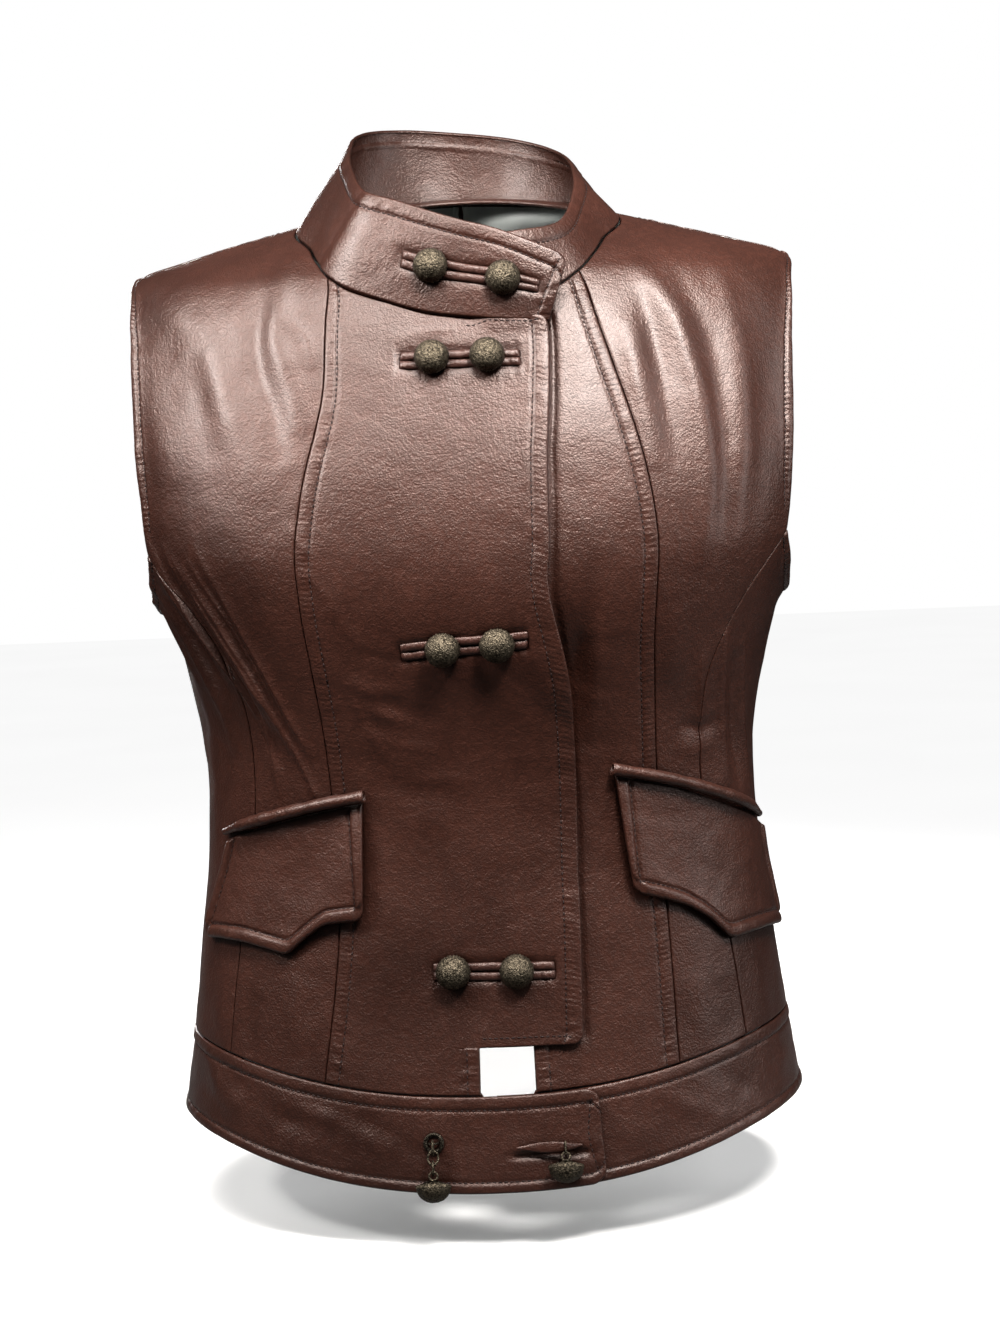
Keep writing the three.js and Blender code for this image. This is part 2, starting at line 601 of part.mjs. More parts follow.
const EYELET = { angle: 352.8, z: -506, stand: 5.2, tilt: 23 };
function bandChain() {
  const lap = bandLap(EYELET.angle);
  const foot = onForm(EYELET.angle, EYELET.z, lap + 2 * SEAM_GAP);
  const out = formNormal(EYELET.angle, EYELET.z);
  const rim = [[3.5, 0], [5.6, 0], [5.6, 0.7], [4.6, 1.2], [3.5, 0.7], [3.5, 0]];
  const eyelet = new THREE.LatheGeometry(rim.map(([r, h]) => new THREE.Vector2(r, h)), 16);
  const ring = addMesh(vest, 'band_eyelet', eyelet, brass);
  ring.position.copy(foot);
  ring.quaternion.setFromUnitVectors(new THREE.Vector3(0, 1, 0), out);

  // The staple in the eyelet, from which the chain hangs
  const staple = [[-2.4, 0], [-2.4, 3], [-1.5, 4.4], [0, EYELET.stand - SEAM_GAP], [1.5, 4.4], [2.4, 3], [2.4, 0]];
  const bend = staple.map(([x, h]) => foot.clone().addScaledVector(out, h).add(new THREE.Vector3(x, 0, 0)));
  const section = new THREE.Shape().absarc(0, 0, WIRE, 0, Math.PI * 2);
  addMesh(vest, 'chain_staple', new THREE.ExtrudeGeometry(section, {
    steps: 14, curveSegments: 3, bevelEnabled: false, extrudePath: new THREE.CatmullRomCurve3(bend),
  }), brass);

  const chain = hinge(bend[3], EYELET.tilt);
  const first = LINK_INNER - WIRE - SEAM_GAP;
  for (let k = 0; k < 3; k++) {
    addMesh(chain, `chain_link_${k + 1}`, linkGeometry(k % 2 === 0), brass).position.z = -first - k * LINK_PITCH;
  }
  const last = first + 2 * LINK_PITCH;
  hangingDome(chain, 'dome_chain', last + LINK_INNER - SEAM_GAP + LOOP_RADIUS - WIRE);
}
bandChain();

// The leather loop is a narrow strip that lies on the tab and arches up at one end
const LOOP = { z: -509.5, half: 1.3, thick: 1.4, crest: 6.6, rest: 0.5, tilt: 27 };
function tabToggle() {
  const course = [[3.4, 0], [5.6, 0], [7.6, 0], [8.7, 0.5], [9.5, 0.9], [10.2, 1], [10.9, 0.9], [11.7, 0.5], [12.8, 0]];
  const line = new THREE.SplineCurve(course.map(([angle, rise]) => new THREE.Vector2(angle, rise)));
  const columns = 22;
  const at = (t, d, depth) => {
    const { x: angle, y: rise } = line.getPoint(t);
    const lift = THREE.MathUtils.lerp(LOOP.rest + LOOP.thick, LOOP.crest, THREE.MathUtils.clamp(rise, 0, 1));
    return onForm(angle + 360, LOOP.z + d, LAP + lift - depth);
  };
  const grid = (depth) => [-LOOP.half, LOOP.half].map((d) => fractions(columns).map((t) => at(t, d, depth)));
  wall('tab_loop', grid(0), grid(LOOP.thick), edgeLeather);
  const crest = course.findIndex(([, rise]) => rise === 1) / (course.length - 1);
  const toggle = hinge(at(crest, 0, LOOP.thick / 2), LOOP.tilt);
  const hang = 1.1;           // how far the ring's centre is below the strip's
  addMesh(toggle, 'tab_ring', linkGeometry(true), brass).position.z = -hang;
  hangingDome(toggle, 'dome_tab', hang + LINK_INNER - SEAM_GAP + LOOP_RADIUS - WIRE);
}
tabToggle();

export default vest;
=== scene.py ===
# A brown leather vest, worn and hollow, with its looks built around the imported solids.
# Lengths in the tables are in millimetres. Meshes are written in metres.
import math
import bmesh
import bpy
import numpy as np
from mathutils import Matrix, Vector, noise


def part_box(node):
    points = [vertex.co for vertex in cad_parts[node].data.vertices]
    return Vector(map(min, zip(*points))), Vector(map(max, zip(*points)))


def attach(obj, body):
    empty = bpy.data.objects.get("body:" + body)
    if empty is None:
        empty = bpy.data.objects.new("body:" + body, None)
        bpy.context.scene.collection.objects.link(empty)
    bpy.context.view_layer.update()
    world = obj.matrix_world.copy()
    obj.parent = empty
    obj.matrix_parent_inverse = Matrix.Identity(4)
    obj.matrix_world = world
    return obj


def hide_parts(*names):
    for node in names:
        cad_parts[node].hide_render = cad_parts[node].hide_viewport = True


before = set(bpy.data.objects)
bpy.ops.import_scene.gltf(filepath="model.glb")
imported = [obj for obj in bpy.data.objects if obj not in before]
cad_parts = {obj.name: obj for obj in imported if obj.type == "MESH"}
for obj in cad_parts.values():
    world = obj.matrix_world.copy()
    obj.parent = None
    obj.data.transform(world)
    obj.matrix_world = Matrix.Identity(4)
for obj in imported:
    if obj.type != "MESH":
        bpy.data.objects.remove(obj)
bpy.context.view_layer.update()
scene = bpy.context.scene
MM = 0.001

# The photograph's view
# The camera is at chest height, about 1.3 m away, looks a little down and leans slightly to one side.
VIEW_TURN, VIEW_PITCH, VIEW_ROLL = math.radians(1.3), math.radians(-4.2), math.radians(2.33)
VIEW_DISTANCE, VIEW_HEIGHT, VIEW_ASIDE = 1.3, -0.164, 0.0136
PHOTO_HEIGHT_PX, FOCAL_PX = 1333, 2241
right = Vector((math.cos(VIEW_TURN), math.sin(VIEW_TURN), 0))
ahead = Vector((-math.sin(VIEW_TURN), math.cos(VIEW_TURN), 0))
upward = Vector((0, 0, 1))
look = ahead * math.cos(VIEW_PITCH) + upward * math.sin(VIEW_PITCH)
top_side = upward * math.cos(VIEW_PITCH) - ahead * math.sin(VIEW_PITCH)
across = right * math.cos(VIEW_ROLL) - top_side * math.sin(VIEW_ROLL)
above = right * math.sin(VIEW_ROLL) + top_side * math.cos(VIEW_ROLL)
camera = bpy.data.objects.new("camera", bpy.data.cameras.new("camera"))
camera.data.sensor_fit = "VERTICAL"
camera.data.sensor_height = 24
camera.data.lens = FOCAL_PX / PHOTO_HEIGHT_PX * camera.data.sensor_height
camera.matrix_world = Matrix.Translation(
    -ahead * VIEW_DISTANCE + right * VIEW_ASIDE + upward * VIEW_HEIGHT
) @ Matrix((across, above, -look)).transposed().to_4x4()
scene.collection.objects.link(camera)
scene.camera = camera


# The leather
# Glossy oxblood-brown nappa: fine pebbled grain, soft mottling, folds that catch the light, and painted shade in
# hollows, seams and creases.
STITCH_PITCH = 3.1            # from one stitch to the next
SHEEN_TINT = {"Coat Tint": (1, 0.9, 0.86, 1), "Specular Tint": (1, 0.8, 0.73, 1)}
PAINTED_SHADE_REACH = 0.014          # how far around a place hollows paint shade into it, in metres
COAT, SPECULAR = 0.12, 0.38


def feed(tree, node, values):
    """Gives a node's inputs their values, or links them to outputs of other nodes."""
    for key, value in values.items():
        if isinstance(value, bpy.types.NodeSocket):
            tree.links.new(value, node.inputs[key])
        else:
            node.inputs[key].default_value = value


def add_node(tree, kind, values=None, **settings):
    node = tree.nodes.new(kind)
    for key, value in settings.items():
        setattr(node, key, value)
    feed(tree, node, values or {})
    return node


def calculated(tree, operation, *values):
    return add_node(tree, "ShaderNodeMath", dict(enumerate(values)), operation=operation).outputs[0]


def mapped(tree, value, span, target):
    keys = ("Value", "From Min", "From Max", "To Min", "To Max")
    return add_node(tree, "ShaderNodeMapRange", dict(zip(keys, (value, *span, *target)))).outputs["Result"]


def ramp(tree, factor, deep, light, span=(0, 1)):
    node = add_node(tree, "ShaderNodeValToRGB", {"Fac": factor})
    for element, place, color in zip(node.color_ramp.elements, span, (deep, light)):
        element.position = place
        element.color = (*color, 1)
    return node.outputs["Color"]


def multiplied(tree, first, second):
    values = {"Factor": 1.0, "A": first, "B": second}
    return add_node(tree, "ShaderNodeMix", values, data_type="RGBA", blend_type="MULTIPLY").outputs["Result"]


def bumped(tree, height, strength, distance):
    values = {"Height": height, "Strength": strength, "Distance": distance}
    return add_node(tree, "ShaderNodeBump", values).outputs["Normal"]


def new_material(name):
    """A material, its tree, its shader, and the place on the object for its textures."""
    material = bpy.data.materials.new(name)
    material.use_nodes = True
    tree = material.node_tree
    place = add_node(tree, "ShaderNodeTexCoord").outputs["Object"]
    return material, tree, tree.nodes["Principled BSDF"], place


def new_group(name, inputs, outputs):
    group = bpy.data.node_groups.new(name, "ShaderNodeTree")
    for label, kind, value in inputs:
        socket = group.interface.new_socket(label, in_out="INPUT", socket_type=kind)
        socket.default_value = value
    for label, kind in outputs:
        group.interface.new_socket(label, in_out="OUTPUT", socket_type=kind)
    return group, group.nodes.new("NodeGroupInput"), group.nodes.new("NodeGroupOutput")


def grain_group():
    """Heights and masks of leather grain: pebbles, pores and slack creases, on the piece's own place."""
    group, entry, result = new_group(
        "leather_grain",
        [("Vector", "NodeSocketVector", (0, 0, 0)), ("Crease", "NodeSocketFloat", 0.6)],
        [("Height", "NodeSocketFloat"), ("Mottle", "NodeSocketFloat"), ("Wear", "NodeSocketFloat"),
         ("Slack", "NodeSocketFloat")],
    )
    place = entry.outputs["Vector"]
    pebbles = add_node(group, "ShaderNodeTexVoronoi", {"Vector": place, "Scale": 900, "Randomness": 0.95})
    bent = add_node(group, "ShaderNodeTexNoise", {"Vector": place, "Scale": 170, "Detail": 5, "Roughness": 0.62})
    slack = add_node(group, "ShaderNodeTexNoise", {
        "Vector": place, "Scale": 42, "Detail": 4, "Roughness": 0.6, "Distortion": 0.9,
    })
    broad = add_node(group, "ShaderNodeTexNoise", {"Vector": place, "Scale": 9, "Detail": 4, "Roughness": 0.6})
    folded = calculated(group, "ABSOLUTE", calculated(group, "SUBTRACT", bent.outputs["Fac"], 0.5))
    lines = calculated(group, "MULTIPLY", folded, -1.5)
    fine = calculated(group, "MULTIPLY", pebbles.outputs["Distance"], 0.34)
    pores = calculated(group, "SUBTRACT", lines, fine)
    height = calculated(group, "MULTIPLY_ADD", slack.outputs["Fac"], entry.outputs["Crease"], pores)
    feed(group, result, {
        "Height": height, "Mottle": broad.outputs["Fac"], "Wear": folded, "Slack": slack.outputs["Fac"],
    })
    return group


GRAIN = grain_group()


def leather_material(name, deep, light, rough, crease=0.6, bump=0.5):
    material, tree, shader, place = new_material(name)
    grain = add_node(tree, "ShaderNodeGroup", node_tree=GRAIN)
    feed(tree, grain, {"Vector": place, "Crease": crease})
    mottle = grain.outputs["Mottle"]
    tone = ramp(tree, mottle, deep, light, (0.32, 0.68))
    worn = multiplied(tree, tone, mapped(tree, grain.outputs["Wear"], (0.0, 0.07), (0.72, 1.0)))
    # Painted shade: an occlusion mask darkens the colour and weakens the gloss and coat in hollows, seams,
    # creases and under overlapping parts.
    around = add_node(tree, "ShaderNodeAmbientOcclusion", {"Distance": PAINTED_SHADE_REACH}, samples=6)
    depth = mapped(tree, around.outputs["AO"], (0.15, 0.85), (0.12, 1.0))
    run = add_node(tree, "ShaderNodeAttribute", attribute_name="run").outputs["Fac"]
    pucker = add_node(tree, "ShaderNodeAttribute", attribute_name="pucker").outputs["Fac"]
    waves = calculated(tree, "MULTIPLY", run, 2 * math.pi / STITCH_PITCH)
    ripple = calculated(tree, "SINE", calculated(tree, "MULTIPLY_ADD", mottle, 5.0, waves))
    drawn = calculated(tree, "MULTIPLY", ripple, pucker)
    patchy = mapped(tree, grain.outputs["Slack"], (0.35, 0.65), (0.04, 0.22))
    height = calculated(tree, "MULTIPLY_ADD", drawn, patchy, grain.outputs["Height"])
    # depth carries the painted shade into the base colour, the gloss and the coat.
    feed(tree, shader, {
        **SHEEN_TINT,
        "Base Color": multiplied(tree, worn, depth),
        "Roughness": mapped(tree, mottle, (0, 1), (rough - 0.07, rough + 0.1)),
        "Specular IOR Level": calculated(tree, "MULTIPLY", depth, SPECULAR),
        "Coat Weight": calculated(tree, "MULTIPLY", depth, COAT),
        "Coat Roughness": 0.3,
        "Normal": bumped(tree, height, bump, 0.0011),
    })
    return material


LEATHER = leather_material("oxblood_leather", (0.0145, 0.0041, 0.0023), (0.031, 0.0094, 0.0056), 0.39, bump=0.5)
PIPING = leather_material("piping_leather", (0.020, 0.007, 0.005), (0.042, 0.0155, 0.011), 0.42, 0.9)


def lining_material():
    """Grey satin lining, sewn to the inside of the fronts and back, with painted shade in its fold hollows."""
    material, tree, shader, place = new_material("grey_lining")
    spread = add_node(tree, "ShaderNodeMapping", {"Vector": place, "Scale": (60, 60, 5)}).outputs["Vector"]
    folds = add_node(tree, "ShaderNodeTexNoise", {"Vector": spread, "Scale": 1.0, "Detail": 2}).outputs["Fac"]
    feed(tree, shader, {
        # The colour follows the fold heights, darker where the satin sinks and lighter where it rises: painted
        # shade and painted sheen.
        "Base Color": ramp(tree, folds, (0.20, 0.215, 0.205), (0.30, 0.32, 0.305), (0.3, 0.7)),
        "Roughness": 0.5,
        "Sheen Weight": 0.3,
        "Normal": bumped(tree, folds, 0.5, 0.002),
    })
    return material


LINING = lining_material()


# The fronts and back
# Eight panels of leather lie on one body form: level sections at heights, half width, depth to the
# front and back, and how square each half is. Angles run from centre front by the wearer's left.
SECTIONS = np.array([
    [16, 62, 40, 52, 1.8, 1.8],
    [8, 72, 44, 56, 1.6, 1.6],
    [0, 85, 47, 60, 1.3, 1.3],
    [-5, 103, 50, 63, 1.3, 1.3],
    [-10, 121, 53, 65, 1.3, 1.3],
    [-15, 140, 56, 68, 1.3, 1.3],
    [-20, 158, 59, 71, 1.35, 1.35],
    [-25, 177, 63, 74, 1.45, 1.45],
    [-30, 187, 67, 77, 1.6, 1.6],
    [-40, 191, 75, 82, 1.9, 1.85],
    [-60, 195, 85, 90, 2.15, 2.1],
    [-100, 198, 100, 100, 2.35, 2.25],
    [-145, 197, 114, 107, 2.5, 2.3],
    [-185, 190, 121, 109, 2.55, 2.3],
    [-215, 179, 121, 107, 2.5, 2.3],
    [-245, 168, 115, 102, 2.45, 2.3],
    [-280, 160, 105, 94, 2.4, 2.3],
    [-316, 158, 99, 88, 2.35, 2.3],
    [-360, 160, 99, 89, 2.3, 2.3],
    [-400, 165, 103, 96, 2.3, 2.3],
    [-440, 170, 108, 104, 2.3, 2.3],
    [-483, 176, 115, 111, 2.3, 2.3],
    [-540, 187, 125, 119, 2.3, 2.3],
], float)[::-1]


def between(keys, values, at):
    """A smooth value between the rows of a table, by cubic Hermite steps."""
    slope = np.gradient(values, keys)
    slope[1:-1] = (values[2:] - values[:-2]) / (keys[2:] - keys[:-2])
    k = np.clip(np.searchsorted(keys, at) - 1, 0, len(keys) - 2)
    step = keys[k + 1] - keys[k]
    t = np.clip((at - keys[k]) / step, 0, 1)
    return (
        (2 * t**3 - 3 * t**2 + 1) * values[k] + (t**3 - 2 * t**2 + t) * step * slope[k]
        + (3 * t**2 - 2 * t**3) * values[k + 1] + (t**3 - t**2) * step * slope[k + 1]
    )


def form_point(angle, z):
    heights = SECTIONS[:, 0]
    half, front, back, front_square, back_square = (between(heights, SECTIONS[:, k], z) for k in range(1, 6))
    s, c = np.sin(np.radians(angle)), np.cos(np.radians(angle))
    square = np.where(c >= 0, front_square, back_square)
    depth = np.where(c >= 0, front, back)
    x = half * np.sign(s) * np.abs(s) ** (2 / square)
    y = -depth * np.sign(c) * np.abs(c) ** (2 / square)
    return np.stack([x, y, z + 0 * x], -1)


def unit(vectors):
    return vectors / np.maximum(np.linalg.norm(vectors, axis=-1, keepdims=True), 1e-12)


def form_normal(angle, z):
    across = form_point(angle + 1, z) - form_point(angle - 1, z)
    up = form_point(angle, z + 0.5) - form_point(angle, z - 0.5)
    return unit(np.cross(across, up))


# Folds and creases in the leather: their line as (angle, height), how high they stand (or how deep,
# where negative) and how wide they are. Most sharp ones are where the bust and waist pull.
SHARP_CREASES = [
    ([(297, -175), (300, -207), (305, -228), (311, -252), (316, -276)], 2.6, 3.2),
    ([(303, -178), (307, -210), (312, -238), (317, -262), (321, -284)], 2.8, 3.0),
    ([(308, -192), (313, -222), (318, -252), (323, -282), (328, -308), (331, -326)], 3.2, 3.2),
    ([(314, -180), (318, -215), (322, -250), (326, -280), (330, -300)], 2.2, 2.8),
    ([(317, -250), (318, -275), (319, -300), (320, -322)], 1.8, 3.0),
    ([(288, -195), (293, -225), (298, -252), (303, -276), (305, -300)], 2.6, 3.6),
    ([(283, -205), (287, -235), (292, -262)], 1.8, 3.6),
    ([(51, -236), (54, -262), (57, -292), (60, -326)], 2.4, 3.2),
    ([(60, -240), (65, -272), (70, -304), (75, -338)], 2.6, 3.6),
    ([(45, -250), (47, -276), (48, -305)], 1.6, 3.0),
    ([(299, -182), (303, -214), (308, -240), (314, -266), (319, -292)], 2.0, 1.5),
    ([(306, -186), (310, -216), (315, -244), (320, -270), (325, -298)], 2.1, 1.5),
    ([(311, -188), (316, -220), (320, -250), (324, -282)], 1.8, 1.4),
    ([(292, -200), (296, -228), (301, -254), (305, -280)], 1.5, 1.4),
    ([(343, -240), (350, -246), (354, -249)], -0.8, 2.2),
    ([(339, -256), (345, -262), (351, -264)], 1.1, 3.0),
    ([(341, -268), (347, -276), (353, -280)], 1.2, 3.2),
    ([(342, -284), (349, -292), (356, -297)], 1.1, 3.0),
    ([(340, -262), (343, -280), (346, -300)], 0.8, 3.0),
    ([(338, -196), (341, -210), (342, -224)], 0.9, 3.0),
    ([(340, -216), (344, -232), (345, -244)], 0.9, 3.2),
    ([(336, -170), (339, -184), (341, -200)], 0.7, 3.0),
    ([(344, -306), (352, -312), (361, -313)], 0.6, 2.6),
    ([(12, -262), (18, -270), (24, -274)], 0.8, 3.0),
    ([(10, -292), (17, -297), (25, -296)], -0.7, 3.0),
    ([(14, -232), (20, -236), (26, -234)], 0.6, 2.8),
    ([(351, -76), (356, -72), (360, -72)], 0.6, 2.6),
    ([(334, -60), (338, -72), (340, -90)], 0.7, 3.2),
]
CREASES = [
    ([(304, -195), (310, -236), (317, -276), (321, -306)], -2.4, 5),
    ([(315, -200), (318, -240), (323, -280), (329, -316)], -2.2, 4.5),
    ([(295, -205), (301, -240), (308, -268)], -2.4, 5),
    ([(58, -250), (62, -290), (67, -332)], -2.2, 4.5),
    ([(292, -150), (296, -190), (303, -230)], 1.6, 9),
    ([(330, -420), (331, -440), (329, -458)], 0.5, 5),
    ([(303, -14), (324, -28), (331, -54), (332, -72), (337, -101), (340, -124)], 1.8, 8),
    ([(326, -44), (328, -65), (330, -89), (334, -113), (336, -140)], -1.8, 7),
    ([(300, -40), (311, -60), (318, -81), (324, -111), (331, -162)], 2.0, 11),
    ([(296, -70), (304, -110), (311, -150)], 1.3, 12),
    ([(310, -48), (317, -90), (322, -140)], -1.0, 8),
    ([(26, -66), (25, -105), (27, -150)], 1.6, 7),
    ([(30, -50), (29.5, -90), (30.5, -150)], -1.7, 6),
    ([(33, -34), (35, -66), (36.5, -106), (37.5, -152), (38, -205)], 2.4, 7),
    ([(40, -36), (41, -80), (41.5, -130), (42, -190)], -1.5, 6),
    ([(50, -36), (48, -87), (46.5, -130), (46, -200)], 2.2, 8),
    ([(60, -60), (55, -110), (50, -170)], -1.0, 10),
    ([(35, -222), (36, -245), (37, -268)], 1.2, 8),
    ([(41, -289), (48, -292), (57, -289)], -1.4, 4),
    ([(40, -300), (47, -304), (54, -302)], 0.9, 5),
    ([(343, -252), (346, -272), (350, -290)], 1.0, 6),
    ([(345, -266), (352, -276), (357, -279)], -0.7, 5),
    ([(341, -286), (347, -298), (355, -305)], 0.8, 6),
    ([(344, -310), (350, -318), (358, -322)], -0.6, 6),
    ([(350, -330), (357, -341)], 0.7, 7),
    ([(8, -268), (13, -282), (20, -291)], -0.9, 6),
    ([(347, -350), (344, -372), (346, -396)], 0.6, 9),
    ([(327, -420), (325, -440), (326, -462)], 0.8, 7),
    ([(315, -430), (312, -448), (313, -464)], -0.8, 6),
    ([(303, -415), (300, -440), (301, -462)], 0.9, 8),
    ([(40, -425), (41, -445), (40, -468)], 0.8, 8),
    ([(48, -430), (50, -448), (49, -466)], -0.7, 6),
    ([(62, -420), (64, -440), (63, -462)], 0.9, 9),
    ([(80, -232), (84, -262), (88, -300)], 1.6, 9),
    ([(98, -236), (96, -270), (95, -310)], -1.3, 8),
    ([(108, -230), (112, -262), (118, -296)], 1.7, 9),
    ([(262, -232), (259, -266), (262, -305)], 1.5, 9),
    ([(276, -228), (281, -258), (288, -292)], -1.3, 7),
    ([(270, -230), (274, -265), (281, -306)], 1.7, 8),
    ([(248, -234), (243, -266), (238, -300)], 1.6, 9),
    ([(128, -150), (140, -205), (149, -250)], 1.6, 13),
    ([(232, -150), (221, -210), (212, -256)], 1.6, 13),
    ([(142, -268), (158, -286), (174, -290)], 1.5, 8),
    ([(218, -270), (203, -288), (187, -291)], 1.4, 8),
    ([(146, -284), (160, -300), (176, -304)], -1.2, 6),
    ([(214, -286), (200, -302), (185, -306)], -1.1, 6),
    ([(150, -304), (163, -316), (178, -318)], 1.2, 8),
    ([(209, -306), (197, -318), (184, -321)], 1.1, 8),
    ([(152, -34), (146, -70), (138, -110)], 1.2, 12),
    ([(209, -36), (214, -74), (222, -114)], 1.2, 12),
    ([(140, -430), (142, -446), (140, -462)], 0.8, 8),
    ([(170, -436), (172, -450), (170, -462)], -0.7, 7),
    ([(205, -432), (203, -448), (205, -462)], 0.8, 8),
]
CREASE_LINES = [
    (form_point(*np.array(line, float).T), height, width, sharp)
    for table, sharp in ((CREASES, False), (SHARP_CREASES, True)) for line, height, width in table
]


def gap_to(points, start, end):
    """How far each point is from a straight stretch, and how far along the stretch it is."""
    along = end - start
    t = np.clip(((points - start) @ along) / (along @ along), 0, 1)
    return np.linalg.norm(points - start - t[..., None] * along, axis=-1), t


def relief(points):
    """How far folds lift the leather off the form at each point."""
    lift = np.zeros(points.shape[:-1])
    for line, height, width, sharp in CREASE_LINES:
        nearest = np.full(lift.shape, 1e9)
        run = np.zeros(lift.shape)
        for k in range(len(line) - 1):
            gap, t = gap_to(points, line[k], line[k + 1])
            closer = gap < nearest
            nearest = np.where(closer, gap, nearest)
            run = np.where(closer, (k + t) / (len(line) - 1), run)
        taper = np.sin(np.pi * np.clip(run, 0.0, 1.0)) ** 0.6
        lift += height * taper * np.exp(-((nearest / width) ** (1.25 if sharp else 2)))
    return lift


def cloth_noise(points, size, seed):
    flat = points.reshape(-1, 3) / size + seed * 7.3
    return np.array([noise.noise(Vector(p)) for p in flat]).reshape(points.shape[:-1])


def even_spline(points, t):
    """A smooth line through the points, with the same share of it to each step between points."""
    points = np.array(points, float)
    ends = np.concatenate([points[:1], points, points[-1:]])
    at = np.asarray(t) * (len(points) - 1)
    k = np.clip(at.astype(int), 0, len(points) - 2)
    w = (at - k)[..., None]
    a, b, c, d = ends[k], ends[k + 1], ends[k + 2], ends[k + 3]
    va, vb = (c - a) / 2, (d - b) / 2
    return (2 * b - 2 * c + va + vb) * w**3 + (-3 * b + 3 * c - 2 * va - vb) * w**2 + va * w + b


def spline(points, fractions):
    """Places along a smooth line through the points, spaced evenly."""
    fine = even_spline(points, np.linspace(0, 1, 40 * (len(points) - 1) + 1))
    run = np.concatenate([[0], np.cumsum(np.linalg.norm(np.diff(fine, axis=0), axis=1))])
    at = np.asarray(fractions) * run[-1]
    return np.stack([np.interp(at, run, fine[:, k]) for k in range(fine.shape[1])], -1)


def smooth(low, high, at):
    t = np.clip((at - low) / (high - low), 0, 1)
    return t * t * (3 - 2 * t)


NECK = np.array([
    [6.5, -62], [13, -53], [18, -46], [24, -36.5], [39, -20.5], [60, -8.5], [90, 0], [120, 6], [150, 12],
    [180, 14], [210, 12], [240, 6], [270, 0], [300, -8.5], [321, -20.5], [336, -37], [342, -46],
    [348.5, -53], [355, -60.5], [360, -65], [366, -68.5], [372.5, -70],
], float)
HEM_SIDE, HEM_DROP, BAND_SIDE, BAND_EXTRA = -506, 27, 46, 5
SHOULDER_TIP = -30
NOTCH_TOP = -457
CLOSING_EDGE, LEFT_EDGE = 359.4, 6.5
PLACKET_TIP = 372.5           # angle of the placket's and the collar tab's end at the neck
LAP = 2.9                     # how far an overlapping front stands out over the one below it


def smooth_neck():
    """The neckline as heights at angles, from a smooth line in space through its places."""
    line = even_spline(form_point(NECK[:, 0], NECK[:, 1]), np.linspace(0, 1, 400))
    for _ in range(60):
        line[1:-1] = line[1:-1] * 0.5 + (line[:-2] + line[2:]) * 0.25
    rows = SECTIONS[:, 0]
    half, front, back, front_square, back_square = (
        between(rows, SECTIONS[:, k], line[:, 2]) for k in range(1, 6)
    )
    ahead = line[:, 1] < 0
    square, depth = np.where(ahead, front_square, back_square), np.where(ahead, front, back)
    s = np.sign(line[:, 0]) * (np.abs(line[:, 0]) / half) ** (square / 2)
    c = -np.sign(line[:, 1]) * (np.abs(line[:, 1]) / depth) ** (square / 2)
    return np.unwrap(np.arctan2(s, c)) * 180 / np.pi, line[:, 2]


NECK_LINE = smooth_neck()


def neck_height(angle):
    return np.interp(np.asarray(angle, float), *NECK_LINE)


def dip(angle):
    return np.maximum(np.cos(np.radians(angle)), 0) ** 3


def hem_height(angle):
    return HEM_SIDE - HEM_DROP * dip(angle)


def band_top(angle):
    return hem_height(angle) + BAND_SIDE + BAND_EXTRA * dip(angle)


def placket_lap(angle):
    return LAP * smooth(354, 364.5, angle)


def edge_of(height, low, high):
    """A bottom or top edge: angles from low to high at the height of the waistband or neck."""
    def edge(t):
        angle = low + (high - low) * t
        return np.stack([angle, height(angle)], -1)
    return edge


def seam(points):
    return lambda t: spline(points, t)


def two_part(first, second, share):
    """An edge that follows one line for its first share and another for the rest."""
    def edge(t):
        low = first(np.clip(t / share, 0, 1))
        high = second(np.clip((t - share) / (1 - share), 0, 1))
        return np.where((t <= share)[:, None], low, high)
    return edge


def ridge(angle):
    return lambda t: np.stack([angle + 0 * t, SHOULDER_TIP * t], -1)


def mirrored(points):
    return [(360 - angle, z) for angle, z in points]


PRINCESS_LEFT = [
    (34, band_top(34)), (35.4, -380), (34.5, -290), (30, -225), (25.2, -156), (21.5, -95), (20.4, -60),
    (21.5, neck_height(21.5)),
]
PRINCESS_RIGHT = [
    (332.7, band_top(332.7)), (335, -393), (333.5, -300), (334.3, -233), (339, -160), (342, -106),
    (340, -56), (337, neck_height(337)),
]
SIDE_FRONT = [(54, band_top(54)), (53, -407), (49, -332), (48, -266), (55, -218), (65, -185)]
SIDE_BACK = [(124, band_top(124)), (122, -332), (120, -262), (117, -215), (114, -185)]
ARM_FRONT = [(65, -185), (62.5, -150), (63.5, -110), (67, -75), (74, -47), (90, SHOULDER_TIP)]
ARM_BACK = [(114, -185), (117.5, -150), (116, -110), (112, -75), (105, -47), (90, SHOULDER_TIP)]
ARM_UNDER = [(65, -185), (76, -209), (90, -217), (104, -208), (114, -185)]
PLACKET_EDGE = [
    (374.8, NOTCH_TOP), (376.6, -342), (375.1, -270), (370, -215), (369.2, -190), (369.4, -139),
    (PLACKET_TIP, -70),
]
ARM_SHARE = 14 / 22           # the part of a side edge that is below the armhole
FRONT_NECK_SHARE, BACK_NECK_SHARE = 9 / 14, 7 / 12     # the part of a top edge that is at the neck
CELL = 2.8                    # size of a panel's mesh cells
EDGE_STEPS = np.array([0, 0.35, 0.8, 1.4, 2.1, 2.9, 3.7, 4.5, 5.3, 6.1, 6.9, 7.7, 8.5, 9.3, 10.2, 11.4])


def steps(length, cell=CELL):
    """Fractions along a length, closer together at both ends, where edges turn in."""
    middle = np.linspace(EDGE_STEPS[-1], length - EDGE_STEPS[-1], max(int(length / cell), 2))
    return np.concatenate([EDGE_STEPS[:-1], middle, length - EDGE_STEPS[:-1][::-1]]) / length


